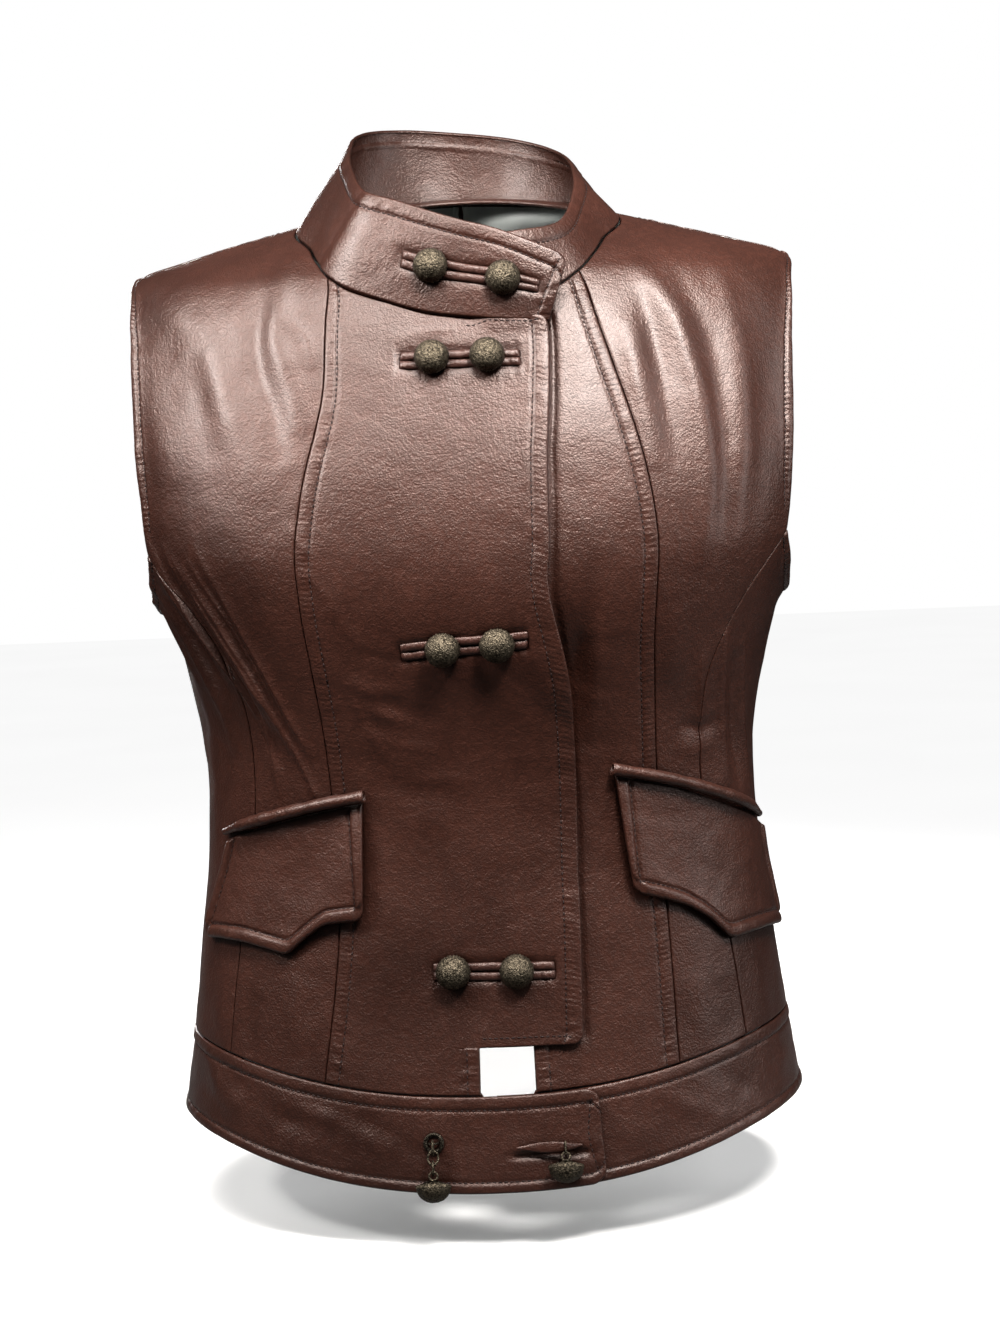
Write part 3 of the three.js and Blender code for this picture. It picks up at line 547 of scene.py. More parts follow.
def patch(left, right, bottom, top, u, v, hold=5):
    """Places between four edges. hold keeps the bottom and top edges' shape near them."""
    a, b, low, high = left(v), right(v), bottom(u), top(u)
    mix = a[:, None] * (1 - u)[None, :, None] + b[:, None] * u[None, :, None]
    def bow(edge):
        return edge - edge[0] * (1 - u)[:, None] - edge[-1] * u[:, None]
    near_low, near_high = ((1 - v) ** hold)[:, None, None], (v**hold)[:, None, None]
    return mix + near_low * bow(low)[None] + near_high * bow(high)[None]


def run_lengths(points, axis):
    step = np.linalg.norm(np.diff(points, axis=axis), axis=-1)
    total = np.cumsum(step, axis=axis)
    pad = np.zeros_like(np.take(total, [0], axis=axis))
    return np.concatenate([pad, total], axis=axis)


def distances(points, notch=None):
    """How far each point of a grid is from its left, right, bottom and top edge, and its runs."""
    across, up = run_lengths(points, 1), run_lengths(points, 0)
    from_right = across[:, -1:] - across
    from_bottom = up.copy()
    if notch:
        row, column = notch
        from_right[:row, : column + 1] = (across[:, column : column + 1] - across)[:row, : column + 1]
        from_bottom[:, column + 1 :] = (up - up[row : row + 1])[:, column + 1 :]
    return {
        "left": across, "right": from_right, "bottom": np.maximum(from_bottom, 0), "top": up[-1:] - up,
        "across": across, "up": up,
    }


# Topstitching: the thread draws the leather in, and the turned edge beside it stands up and puckers
STITCH_LONG, STITCH_THICK = 2.2, 0.42
EDGE_ROLL = 1.1


def along_edge(gaps, side, start, end):
    """How far along an edge each place is, in mm and as a share, and whether the edge is stitched there."""
    by_row = side in ("left", "right")
    run = gaps["up"] if by_row else gaps["across"]
    share = run / np.maximum(run.max(axis=0 if by_row else 1, keepdims=True), 1e-6)
    inside = smooth(start - 0.01, start + 0.01, share) * (1 - smooth(end - 0.01, end + 0.01, share))
    return run, share, inside


def sewn_lift(gaps, stitched, roll=EDGE_ROLL, puff=0.6, pucker=0.2):
    """Rise of the leather by its edges: padded up to the stitching, drawn in at it, and puckered."""
    lift = np.zeros_like(gaps["left"])
    for side, inset, (start, end) in stitched:
        away = gaps[side]
        run, _, inside = along_edge(gaps, side, start, end)
        wave = np.sin(run / 1.9 + 3 * np.sin(run / 17)) * (0.7 + 0.5 * np.sin(run / 11 + 1))
        wave += 0.5 * np.sin(run / 1.1 + away * 0.5)
        padded = np.sin(np.pi * np.clip(away / inset, 0, 1)) ** 0.5
        near = np.exp(-(((away - inset * 0.75) / (inset * 0.5)) ** 2))
        groove = np.exp(-(((away - inset) / 0.9) ** 2))
        lift += inside * (puff * padded - (0.25 + 0.6 * puff) * groove + pucker * wave * near)
    nearest = np.minimum.reduce([gaps[side] for side in ("left", "right", "bottom", "top")])
    short = np.clip(roll - nearest, 0, roll)
    return lift - (roll - np.sqrt(np.maximum(roll**2 - short**2, 0)))


def seam_marks(gaps, stitched, strength=1.0):
    """Where the leather puckers beside its stitching, and how far along each place is."""
    pucker, run = np.zeros_like(gaps["left"]), gaps["up"].copy()
    for side, inset, (start, end) in stitched:
        along, _, inside = along_edge(gaps, side, start, end)
        near = strength * inside * np.exp(-(((gaps[side] - inset * 0.62) / (inset * 0.5)) ** 2))
        run = np.where(near > pucker, along, run)
        pucker = np.maximum(pucker, near)
    return {"pucker": pucker, "run": run}


def corner_cut(away, radius):
    """How far an edge draws in at a distance from its corner, so that the corner is round."""
    return radius - np.sqrt(np.maximum(radius**2 - np.clip(radius - away, 0, radius) ** 2, 0))


def line_at(points, normals, gaps, side, inset, start, end):
    """The line on a grid that keeps a distance from one edge, with the way out of the leather."""
    away = gaps[side]
    by_row = side in ("left", "right")
    count = points.shape[0] if by_row else points.shape[1]
    line, out = [], []
    for k in range(count):
        fraction = k / (count - 1)
        if not start <= fraction <= end:
            continue
        along = k if by_row else (slice(None), k)
        row, spot, way = away[along], points[along], normals[along]
        order = np.argsort(row)
        if row.max() < inset:
            continue
        line.append([np.interp(inset, row[order], spot[order, n]) for n in range(3)])
        out.append([np.interp(inset, row[order], way[order, n]) for n in range(3)])
    return np.array(line), unit(np.array(out)) if out else np.array(out)


# Bound buttonholes in the placket: their ends' angles and heights, and the angles of the half-balls
BUTTONHOLES = [
    ("top", (-6.9, 7.3), (-86.5, -88.5), (-2.7, 3.1)),
    ("middle", (-8.6, 7.1), (-242, -236.5), (-2.6, 2.9)),
    ("lower", (-7, 10.7), (-416, -417), (-3.8, 4.5)),
]
SLOT_HALF_HEIGHT, SLOT_DEPTH = 4.5, 1.3


def sunk(beyond):
    """How deep a slot is, and the leather around it, at a distance beyond the slot's edge."""
    return SLOT_DEPTH * (1 - smooth(-0.3, 0.9, beyond)) + 0.5 * np.exp(-((beyond / 2.4) ** 2))


def slot_recess(points):
    """The panel draws in around each buttonhole, in small uneven puckers."""
    lift = np.zeros(points.shape[:-1])
    for number, (_, ends, heights, _) in enumerate(BUTTONHOLES):
        start, stop = form_point(np.array(ends, float), np.array(heights, float))
        length = np.linalg.norm(stop - start)
        along = (stop - start) / length
        run = (points - start) @ along
        over = np.linalg.norm(points - start - run[..., None] * along, axis=-1)
        beyond = np.maximum(np.maximum(-run, run - length), over - SLOT_HALF_HEIGHT)
        near = np.exp(-(((beyond - 2.5) / 3) ** 2))
        at_ends = np.exp(-((np.minimum(np.abs(run), np.abs(run - length)) / 9) ** 2))
        lift += 0.35 * np.sin(run * 1.1 + number) * near * at_ends - sunk(beyond)
    return lift


STITCH_LINES = []


def stitch_along(line, out):
    if len(line) > 1:
        STITCH_LINES.append((line, out))


def sew(points, out, gaps, stitched):
    for side, inset, (start, end) in stitched:
        stitch_along(*line_at(points, out, gaps, side, inset, start, end))


def mesh_object(name, mesh, materials):
    for material in materials:
        mesh.materials.append(material)
    mesh.polygons.foreach_set("use_smooth", np.ones(len(mesh.polygons), bool))
    piece = bpy.data.objects.new(name, mesh)
    scene.collection.objects.link(piece)
    return piece


def finished(work, name):
    mesh = bpy.data.meshes.new(name)
    work.to_mesh(mesh)
    work.free()
    return mesh


def grid_mesh(name, points, drop=None, marks=None):
    """A mesh grid bent to the points, without the cells that drop names, with a value at each point."""
    rows, columns = points.shape[0] - 1, points.shape[1] - 1
    grid = bmesh.new()
    bmesh.ops.create_grid(grid, x_segments=columns, y_segments=rows, size=1)
    grid.verts.ensure_lookup_table()
    for vertex, place in zip(grid.verts, (points * MM).reshape(-1, 3)):
        vertex.co = place
    for label, values in (marks or {}).items():
        layer = grid.verts.layers.float.new(label)
        for vertex, value in zip(grid.verts, values.reshape(-1)):
            vertex[layer] = value
    if drop is not None:
        grid.faces.ensure_lookup_table()
        gone = [grid.faces[j * columns + i] for j in range(rows) for i in range(columns) if drop(i, j)]
        bmesh.ops.delete(grid, geom=gone, context="FACES")
    return finished(grid, name)


def tucked(points, out, tucks):
    """Rows added below a grid that go on past its lowest edge and sink behind its neighbour."""
    down = unit(points[0] - points[2])
    return np.concatenate([[points[0] + down * far - out[0] * deep for far, deep in tucks], points])


def leather_shell(name, points, thick, drop=None, lined=True, marks=None):
    if marks is not None:
        missing = points.shape[0] - marks["run"].shape[0]
        marks = {label: np.concatenate([values[:1]] * missing + [values]) for label, values in marks.items()}
    mesh = grid_mesh(name, points, drop, marks)
    piece = mesh_object(name, mesh, [LEATHER, LINING if lined else LEATHER])
    rows, columns = points.shape[0] // 2, points.shape[1] // 2
    across = points[rows, columns + 1] - points[rows, columns]
    facing = np.cross(across, points[rows + 1, columns] - points[rows, columns])
    if facing @ (points[rows, columns] * (1, 1, 0)) < 0:
        piece.data.flip_normals()
    wall = piece.modifiers.new("thickness", "SOLIDIFY")
    wall.thickness = thick * MM
    wall.offset = -1
    wall.material_offset = 1
    wall.material_offset_rim = 0
    return piece


def cut_size(points, drop=None):
    """Width, length and area of a piece's flat cut, in metres, from the form before it is creased."""
    rows, columns = points.shape[0] - 1, points.shape[1] - 1
    one = np.cross(points[1:, 1:] - points[:-1, :-1], points[1:, :-1] - points[:-1, 1:])
    cells = np.linalg.norm(one, axis=-1) / 2
    if drop is not None:
        cells = cells * np.array([[0 if drop(i, j) else 1 for i in range(columns)] for j in range(rows)])
    across, up = run_lengths(points, 1)[:, -1], run_lengths(points, 0)[-1]
    width, length, area = float(across.max()) * MM, float(up.max()) * MM, float(cells.sum()) * MM**2
    return round(width, 3), round(length, 3), round(area, 4)


def settle(piece, node, body):
    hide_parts(node)
    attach(piece, body)


def declare(piece, node, size):
    settle(piece, node, "vest")


PANEL_THICK = 1.7
ARM_STITCH, PRINCESS_STITCH, SHOULDER_STITCH = 5.5, 8, 5
ARM_FLARE, ARM_FLARE_WIDTH = 2.8, 7.5
BAND_TUCK = [(7, 2.9), (4, 2.8), (1.6, 2.0)]      # how far panels go on below the band's top, and how deep
WHOLE = (0.0, 1.0)


def panel(node, places, stitched, lap=None, notch=None, drop=None, sink=None):
    angle, z = places[..., 0], places[..., 1]
    base, out = form_point(angle, z), form_normal(angle, z)
    gaps = distances(base, notch)
    lift = relief(base) + sewn_lift(gaps, stitched)
    lift += 0.5 * cloth_noise(base, 38, 1) + 0.22 * cloth_noise(base, 13, 2)
    for side, inset, (start, end) in stitched:
        if inset == ARM_STITCH:
            _, share, _ = along_edge(gaps, side, start, end)
            ends = 1 - smooth(0.9, 1.0, share) if start else 1 - (1 - np.sin(np.pi * share)) ** 2
            near = np.exp(-((gaps[side] / ARM_FLARE_WIDTH) ** 2))
            lift += ARM_FLARE * smooth(start - 0.05, start + 0.12, share) * ends * near
    if lap is not None:
        lift += lap(angle, z) + slot_recess(base)
    if sink is not None:
        lift -= sink(angle, z)
    points = base + out * lift[..., None]
    if notch is None:
        sew(points, out, gaps, stitched)
    shown = drop and (lambda i, j: drop(i, max(j - len(BAND_TUCK), 0)))
    marks = seam_marks(gaps, stitched, 0.7 if notch else 1.0)
    piece = leather_shell(f"{node}_leather", tucked(points, out, BAND_TUCK), PANEL_THICK, shown, marks=marks)
    declare(piece, node, cut_size(base, drop))
    return points, out, gaps


def front_side(node, princess, side, arm, shoulder):
    top = two_part(edge_of(neck_height, princess[-1][0], shoulder), ridge(shoulder), FRONT_NECK_SHARE)
    places = patch(
        seam(princess), two_part(seam(side), seam(arm), ARM_SHARE),
        edge_of(band_top, princess[0][0], side[0][0]), top, steps(150, 1.8), steps(450, 2.1),
    )
    panel(node, places, [("right", ARM_STITCH, (ARM_SHARE + 0.01, 1.0))])


front_side("front_left_side", PRINCESS_LEFT, SIDE_FRONT, ARM_FRONT, 90)
front_side("front_right_side", PRINCESS_RIGHT, mirrored(SIDE_FRONT), mirrored(ARM_FRONT), 270)


def side_panel(node, front, back, under):
    places = patch(
        seam(front), seam(back), edge_of(band_top, front[0][0], back[0][0]), seam(under),
        steps(150), steps(265), hold=2,
    )
    panel(node, places, [("top", ARM_STITCH, WHOLE)])


side_panel("side_left", SIDE_FRONT, SIDE_BACK, ARM_UNDER)
side_panel("side_right", mirrored(SIDE_FRONT), mirrored(SIDE_BACK), mirrored(ARM_UNDER))


def back_panel(node, side, arm, shoulder):
    top = two_part(edge_of(neck_height, 180, shoulder), ridge(shoulder), BACK_NECK_SHARE)
    places = patch(
        seam([(180, band_top(180)), (180, neck_height(180))]), two_part(seam(side), seam(arm), ARM_SHARE),
        edge_of(band_top, 180, side[0][0]), top, steps(190), steps(480),
    )
    panel(node, places, [
        ("right", ARM_STITCH, (ARM_SHARE + 0.01, 1.0)),
        ("left", 3, WHOLE),
        ("top", SHOULDER_STITCH, (BACK_NECK_SHARE + 0.02, 1.0)),
    ])


back_panel("back_left", SIDE_BACK, ARM_BACK, 90)
back_panel("back_right", mirrored(SIDE_BACK), mirrored(ARM_BACK), 270)

left_neck = PRINCESS_LEFT[-1][0]
left_places = patch(
    seam([(LEFT_EDGE, band_top(LEFT_EDGE)), (LEFT_EDGE, neck_height(LEFT_EDGE))]), seam(PRINCESS_LEFT),
    edge_of(band_top, LEFT_EDGE, PRINCESS_LEFT[0][0]), edge_of(neck_height, LEFT_EDGE, left_neck),
    steps(70, 1.8), steps(430),
)


HOLLOW_DEPTH, HOLLOW_HEIGHT, HOLLOW_HALF, HOLLOW_SIDE = 9, -262, 32, (15.5, 20.5)
EDGE_LINE_DEPTH, EDGE_LINE_HALF = 1.5, 0.55       # half its width in degrees


def beside_placket(angle, z):
    """The left front sinks in beside the placket's edge, deepest at the waist."""
    edge = np.interp(z, [place[1] for place in PLACKET_EDGE], [place[0] - 360 for place in PLACKET_EDGE])
    line = EDGE_LINE_DEPTH * np.exp(-(((angle - edge - 0.5) / EDGE_LINE_HALF) ** 2))
    hollow = HOLLOW_DEPTH * np.exp(-(((z - HOLLOW_HEIGHT) / HOLLOW_HALF) ** 2))
    return line * smooth(NOTCH_TOP - 2, NOTCH_TOP + 4, z) + hollow * (1 - smooth(*HOLLOW_SIDE, angle))


panel("front_left_centre", left_places, [
    ("right", PRINCESS_STITCH, WHOLE), ("left", PRINCESS_STITCH, (0, 0.09)),
], sink=beside_placket)


DEGREES_PER_MM = 0.31         # at the placket's edge
PLACKET_CORNER, PLACKET_STITCH, NOTCH_STITCH = 6, 9, 7


def placket_stand(angle, z):
    """The placket laps over the left front, over the collar's end, and stands away at the waist."""
    edge = smooth(364, 374, angle)
    over_collar = 1.6 * smooth(-78, -66, z) * smooth(362, 365, angle)
    away = edge * (1.0 + 2.6 * np.exp(-(((z + 245) / 55) ** 2)) + 0.5 * np.sin(z / 23))
    return placket_lap(angle) + over_collar + away


def front_right_centre():
    """The right front and its placket are cut in one, with a corner left out below the placket."""
    body_u, lap_u = steps(88), steps(52, 2.4)
    notch_share = (NOTCH_TOP - band_top(CLOSING_EDGE)) / (neck_height(360) - band_top(CLOSING_EDGE))
    upper = steps(405)
    v = np.concatenate([steps(25, 3)[:-1] * notch_share, notch_share + (1 - notch_share) * upper])
    notch_rows = len(v) - len(upper)
    def fold(t):
        low = np.array([CLOSING_EDGE, band_top(CLOSING_EDGE)])
        return low + (np.array([360, neck_height(360)]) - low) * t[:, None]
    body = patch(
        seam(PRINCESS_RIGHT), fold, edge_of(band_top, PRINCESS_RIGHT[0][0], CLOSING_EDGE),
        edge_of(neck_height, PRINCESS_RIGHT[-1][0], 360), body_u, v,
    )
    def upper_fold(t):
        return fold(notch_share + (1 - notch_share) * t)
    def placket_bottom(t):
        return np.stack([CLOSING_EDGE + (PLACKET_EDGE[0][0] - CLOSING_EDGE) * t, NOTCH_TOP + 0 * t], -1)
    laps = patch(
        upper_fold, seam(PLACKET_EDGE), placket_bottom, edge_of(neck_height, 360, PLACKET_TIP), lap_u, upper,
    )[:, 1:]
    share = lap_u[None, 1:]
    from_top = laps[-1:, :, 1] - laps[..., 1]
    from_bottom = laps[..., 1] - laps[:1, :, 1]
    inward = corner_cut(from_top, PLACKET_CORNER) + corner_cut(from_bottom, PLACKET_CORNER)
    laps[..., 0] -= DEGREES_PER_MM * inward * share**6
    laps[..., 1] += 3.5 * smooth(0.1, 0.35, share) * np.exp(-((from_top / 12) ** 2))
    low_laps = np.repeat(laps[:1], notch_rows, axis=0)
    places = np.concatenate([body, np.concatenate([low_laps, laps])], axis=1)
    column = len(body_u) - 1
    drop = lambda i, j: i >= column and j < notch_rows
    points, out, gaps = panel("front_right_centre", places, [
        ("left", PRINCESS_STITCH, WHOLE),
        ("right", PLACKET_STITCH, WHOLE),
    ], placket_stand, (notch_rows, column), drop)
    def stitch_block(rows, columns, side, inset, start=0.0, end=1.0):
        block = {key: value[rows, columns] for key, value in gaps.items()}
        if side == "bottom":
            block["bottom"] = block["bottom"] - block["bottom"][:1]
        stitch_along(*line_at(points[rows, columns], out[rows, columns], block, side, inset, start, end))
    above, below = slice(notch_rows, None), slice(0, notch_rows)
    lap_columns, body_columns = slice(column, None), slice(0, column + 1)
    stitch_block(slice(None), body_columns, "left", PRINCESS_STITCH)
    stitch_block(below, body_columns, "right", NOTCH_STITCH)
    stitch_block(above, lap_columns, "right", PLACKET_STITCH, 0.012, 0.99)
    stitch_block(above, lap_columns, "top", 4.5, 0.12, 0.86)
    stitch_block(above, lap_columns, "bottom", 5, 0.04, 0.84)


front_right_centre()


# The waistband
# A strip of the same leather goes once round and its tab end laps over its beginning at the front.
BAND_START, BAND_END, TAB_CORNER, TAB_STAND = 1, 376.6, 8, 2.2
LOOP_HEIGHT, SLIT_HEIGHT, SLIT_DEPTH = -509.5, -513.4, 2.6      # the leather loop and the slit below it


def band_lap(angle):
    return LAP * smooth(352.5, 360.4, angle)


BAND_CREASES = [
    ([(300, -478), (310, -490), (322, -497)], 0.9, 6),
    ([(314, -491), (325, -497), (336, -500)], -0.8, 5),
    ([(322, -484), (334, -494), (345, -508)], 1.0, 6),
    ([(330, -484), (342, -497), (353, -515)], -0.9, 5),
    ([(296, -470), (301, -482), (308, -494)], 0.9, 7),
    ([(28, -484), (34, -496), (42, -505)], 0.8, 6),
    ([(44, -480), (50, -490), (58, -498)], -0.8, 6),
    ([(62, -474), (68, -484), (75, -493)], 0.8, 7),
    ([(120, -470), (130, -480), (141, -488)], 0.8, 7),
    ([(200, -472), (210, -482), (222, -490)], 0.8, 7),
    ([(236, -476), (246, -486), (258, -492)], -0.7, 6),
]


def waistband():
    turns = BAND_START + (BAND_END - BAND_START) * steps(1010)
    v = steps(47)
    angle = np.repeat(turns[None], len(v), axis=0)
    low, high = hem_height(turns), band_top(turns) - 0.3
    to_tip = np.linalg.norm(form_point(turns, -500.0 + 0 * turns) - form_point(BAND_END, -500.0), axis=-1)
    inset = np.where(turns > 350, corner_cut(to_tip, TAB_CORNER), 0)
    low, high = low + inset, high - inset
    z = low[None] + (high - low)[None] * v[:, None]
    base, out = form_point(angle, z), form_normal(angle, z)
    gaps = distances(base)
    stitched = [("top", 7.5, WHOLE), ("bottom", 6, WHOLE), ("right", 7.5, (0.12, 0.88))]
    lift = relief(base) * 0.5 + sewn_lift(gaps, stitched, puff=0.6)
    lift += band_lap(angle) + TAB_STAND * smooth(366, 375, angle)
    for line, height, width in BAND_CREASES:
        path = form_point(*np.array(line, float).T)
        for k in range(len(path) - 1):
            gap, _ = gap_to(base, path[k], path[k + 1])
            lift += 0.6 * height * np.exp(-((gap / width) ** 2))
    lift += 0.5 * cloth_noise(base, 24, 5) + 0.25 * cloth_noise(base, 9, 6)
    slit = smooth(362.2, 363.6, angle) * (1 - smooth(373.5, 374.5, angle))
    lift -= SLIT_DEPTH * np.exp(-(((z - SLIT_HEIGHT) / 1.5) ** 2)) * slit
    points = base + out * lift[..., None]
    sew(points, out, gaps, stitched)
    marks = seam_marks(gaps, stitched, 0.2)
    piece = leather_shell("waistband_leather", points, PANEL_THICK, lined=False, marks=marks)
    declare(piece, "waistband", cut_size(base))


waistband()


# The collar
# A stand collar of two layers of leather. Its right end is a tab that laps over the left end.
COLLAR = np.array([
    [6.5, 8, -79, -21], [13, 32, -76, -18], [24, 57, -60, -12], [45, 66, -30, 8], [90, 66, 5, 28],
    [120, 57, 30, 40], [150, 33, 50, 50], [180, 0, 57, 56], [210, -34, 50, 58], [240, -56, 30, 54],
    [270, -60, 5, 44], [315, -58, -27, 27], [336, -49, -60, 9], [348.5, -28, -72, 0],
    [360, 2, -82.5, -11.5], [366, 26, -86, -19], [372.5, 61, -86, -34],
], float)
COLLAR_RISE, COLLAR_THICK = 0.4, 2.0
COLLAR_TUCK = [(6, 2.4), (2.6, 1.4)]              # how far the collar goes on below the neck seam
COLLAR_HOLE = {"ends": (0.826, 0.974), "middle": 0.45, "height": 50}
TAB_START, TAB_LAYER = (0.735, 0.741), 1.8        # where the tab's own outer layer begins, and its rise
COLLAR_BOW, COLLAR_CORNER = 1.2, 8


def collar_seam(t):
    angle = np.clip(even_spline(COLLAR[:, :1], t)[..., 0], LEFT_EDGE, PLACKET_TIP)
    z = neck_height(angle)
    up = unit(form_point(angle, z + 0.5) - form_point(angle, z - 0.5))
    out = form_normal(angle, z)
    return form_point(angle, z) + out * placket_lap(angle)[..., None] + up * COLLAR_RISE


def collar_grid(t, v):
    low, high = collar_seam(t), even_spline(COLLAR[:, 1:], t)
    points = low[None] * (1 - v)[:, None, None] + high[None] * v[:, None, None]
    along, up = np.gradient(points, axis=1), np.gradient(points, axis=0)
    return points, unit(np.cross(along, up))


def collar():
    shares, rises = steps(480), steps(46)
    base, out = collar_grid(shares, rises)
    run = run_lengths(base, 1)[-1]
    drawn = 1 - corner_cut(run[-1] - run, COLLAR_CORNER) / COLLAR_HOLE["height"]
    base = base[:1] + (base - base[:1]) * drawn[None, :, None]
    gaps = distances(base)
    stitched = [("top", 9, WHOLE), ("right", 7, (0.1, 0.85))]
    t = np.repeat(shares[None], len(rises), axis=0)
    v = np.repeat(rises[:, None], len(shares), axis=1)
    lift = sewn_lift(gaps, stitched)
    lift += TAB_LAYER * smooth(*TAB_START, t - 0.02 * v)
    lift += COLLAR_BOW * np.sin(np.pi * v) * smooth(0.1, 0.3, t)      # a stand collar bows out a little
    start, stop = COLLAR_HOLE["ends"]
    slot_run = (t - start) / (stop - start)
    slot_over = np.abs(v - COLLAR_HOLE["middle"]) * COLLAR_HOLE["height"] - SLOT_HALF_HEIGHT
    lift -= sunk(np.maximum(np.maximum(-slot_run, slot_run - 1) * COLLAR_HOLE["height"], slot_over))
    lift += 0.5 * cloth_noise(base, 26, 11) + 0.25 * cloth_noise(base, 10, 12)
    points = base + out * lift[..., None]
    sew(points, out, gaps, stitched)
    marks = seam_marks(gaps, stitched, 0.4)
    points = tucked(points, out, COLLAR_TUCK)
    piece = leather_shell("collar_leather", points, COLLAR_THICK, lined=False, marks=marks)
    declare(piece, "collar", cut_size(base))


collar()


# The pocket flaps
# Each flap has two layers with a turned and stitched edge, comes to a point, and stands off the front.
FLAP_REST, FLAP_THICK, FLAP_WIDTH, FLAP_CORNER = 0.9, 2.0, 105, 6
FLAP_RIGHT = np.array([
    [340.7, 340.6, -327, -388], [336.5, 336, -329, -389], [332.5, 332, -331, -390.5],
    [328, 327.3, -333.5, -399], [323.5, 323.4, -336, -407.5], [318.5, 317.5, -339, -405],
    [313, 309.5, -342, -402], [306, 300, -346, -402], [299.2, 291, -350, -404],
], float)
FLAP_LEFT = np.array([
    [24.6, 27.1, -317, -379], [31, 33, -321, -383], [38, 40, -325, -389], [45, 46, -330, -398],
    [52, 51.5, -335, -410.5], [59, 59, -340.5, -409.5], [67, 68, -346, -409.5], [75, 77, -352, -411],
    [83, 85, -358, -414],
], float)


def pocket_flap(side, places, stand):
    u, v = steps(FLAP_WIDTH, 1.5), steps(60, 1.5)
    top_angle, bottom_angle, top_z, bottom_z = (
        np.interp(u, np.linspace(0, 1, len(places)), places[:, k]) for k in range(4)
    )
    top_z = top_z + 3.5
    bottom_z = np.convolve(np.pad(bottom_z, 3, mode="edge"), np.ones(7) / 7, "valid")
    bottom_z = bottom_z + corner_cut(np.minimum(u, 1 - u) * FLAP_WIDTH, FLAP_CORNER)
    angle = bottom_angle[None] + (top_angle - bottom_angle)[None] * v[:, None]
    z = bottom_z[None] + (top_z - bottom_z)[None] * v[:, None]
    base, out = form_point(angle, z), form_normal(angle, z)
    gaps = distances(base)
    stitched = [("left", 8, (0.11, 0.97)), ("right", 7.5, (0.11, 0.97)), ("bottom", 8, (0.07, 0.93))]
    hang = (1 - v)[:, None]
    lift = FLAP_REST + FLAP_THICK - 0.8 + stand * hang**1.1 * (1 - 0.6 * u)[None]
    lift = lift + sewn_lift(gaps, stitched, 1.8, 1.5, 0.05)
    lift += 0.9 * cloth_noise(base, 30, 21) + 0.3 * cloth_noise(base, 10, 22)
    lift += 1.5 * hang * (np.cos(2 * np.pi * u)[None] * 0.5 + 0.2)
    lift += 3.2 * np.exp(-((u / 0.16) ** 2))[None] * np.sin(np.pi * np.clip(v, 0, 1))[:, None] ** 0.8
    points = base + out * lift[..., None]
    for edge, inset, (start, end) in stitched:
        stitch_along(*line_at(points, out, gaps, edge, inset, start, end))
    marks = seam_marks(gaps, stitched, 0.15)
    piece = leather_shell(f"pocket_flap_{side}_leather", points, FLAP_THICK, lined=False, marks=marks)
    declare(piece, f"pocket_flap_{side}", cut_size(base))


pocket_flap("right", FLAP_RIGHT, 3.8)
pocket_flap("left", FLAP_LEFT, 3.4)


# The rolled welts
# A strip of leather rolled on itself covers each flap's top seam. Its end shows the coil.
WELT_RADIUS, WELT_REST, WELT_THICK, WELT_TURNS = 3.2, 2.4, 0.8, 1.45


def flap_welt(side, line):
    run = np.linspace(0, 1, 46)
    places = spline(line, run)
    angle, z = places[:, 0], places[:, 1]
    out = form_normal(angle, z)
    slim = 1 - 0.55 * smooth(0.7, 1.0, run)
    rest = WELT_REST * (1 - 0.6 * smooth(0.6, 1.0, run))
    centre = form_point(angle, z) + out * (rest + WELT_RADIUS * slim)[:, None]
    along = unit(np.gradient(centre, axis=0))
    down = np.cross(along, out)
    turn = np.linspace(0, 2 * np.pi * WELT_TURNS, 44)
    radius = WELT_RADIUS - 1.15 * (1 - turn / turn[-1]) ** 0.8 * WELT_TURNS
    spin = turn[:, None] + 0.25 * np.sin(run * 9)[None]
    r = radius[:, None] * slim[None] * (1 + 0.06 * np.sin(run * 31 + 2)[None] + 0.05 * np.sin(run * 57)[None])
    points = (
        centre[None] + (r * np.cos(spin))[..., None] * out[None] + (r * np.sin(spin))[..., None] * down[None]
    )
    piece = leather_shell(f"flap_welt_{side}_leather", points, WELT_THICK, lined=False)
    declare(piece, f"flap_welt_{side}", cut_size(points))


flap_welt("right", [(341.5, -319.5), (332.5, -323.5), (323.5, -328.5), (313, -334.5), (299, -342.5)])
flap_welt("left", [(23.6, -309), (38, -317.5), (52, -327.5), (67, -338.5), (79, -347.5)])


# The bound buttonholes
# Two piped lips of folded leather lie side by side in each slot, square at its ends.
LIP_CENTRE, LIP_HALF, LIP_HEIGHT, LIP_SUNK, LIP_THICK = 2.15, 2.0, 1.5, 1.2, 0.4


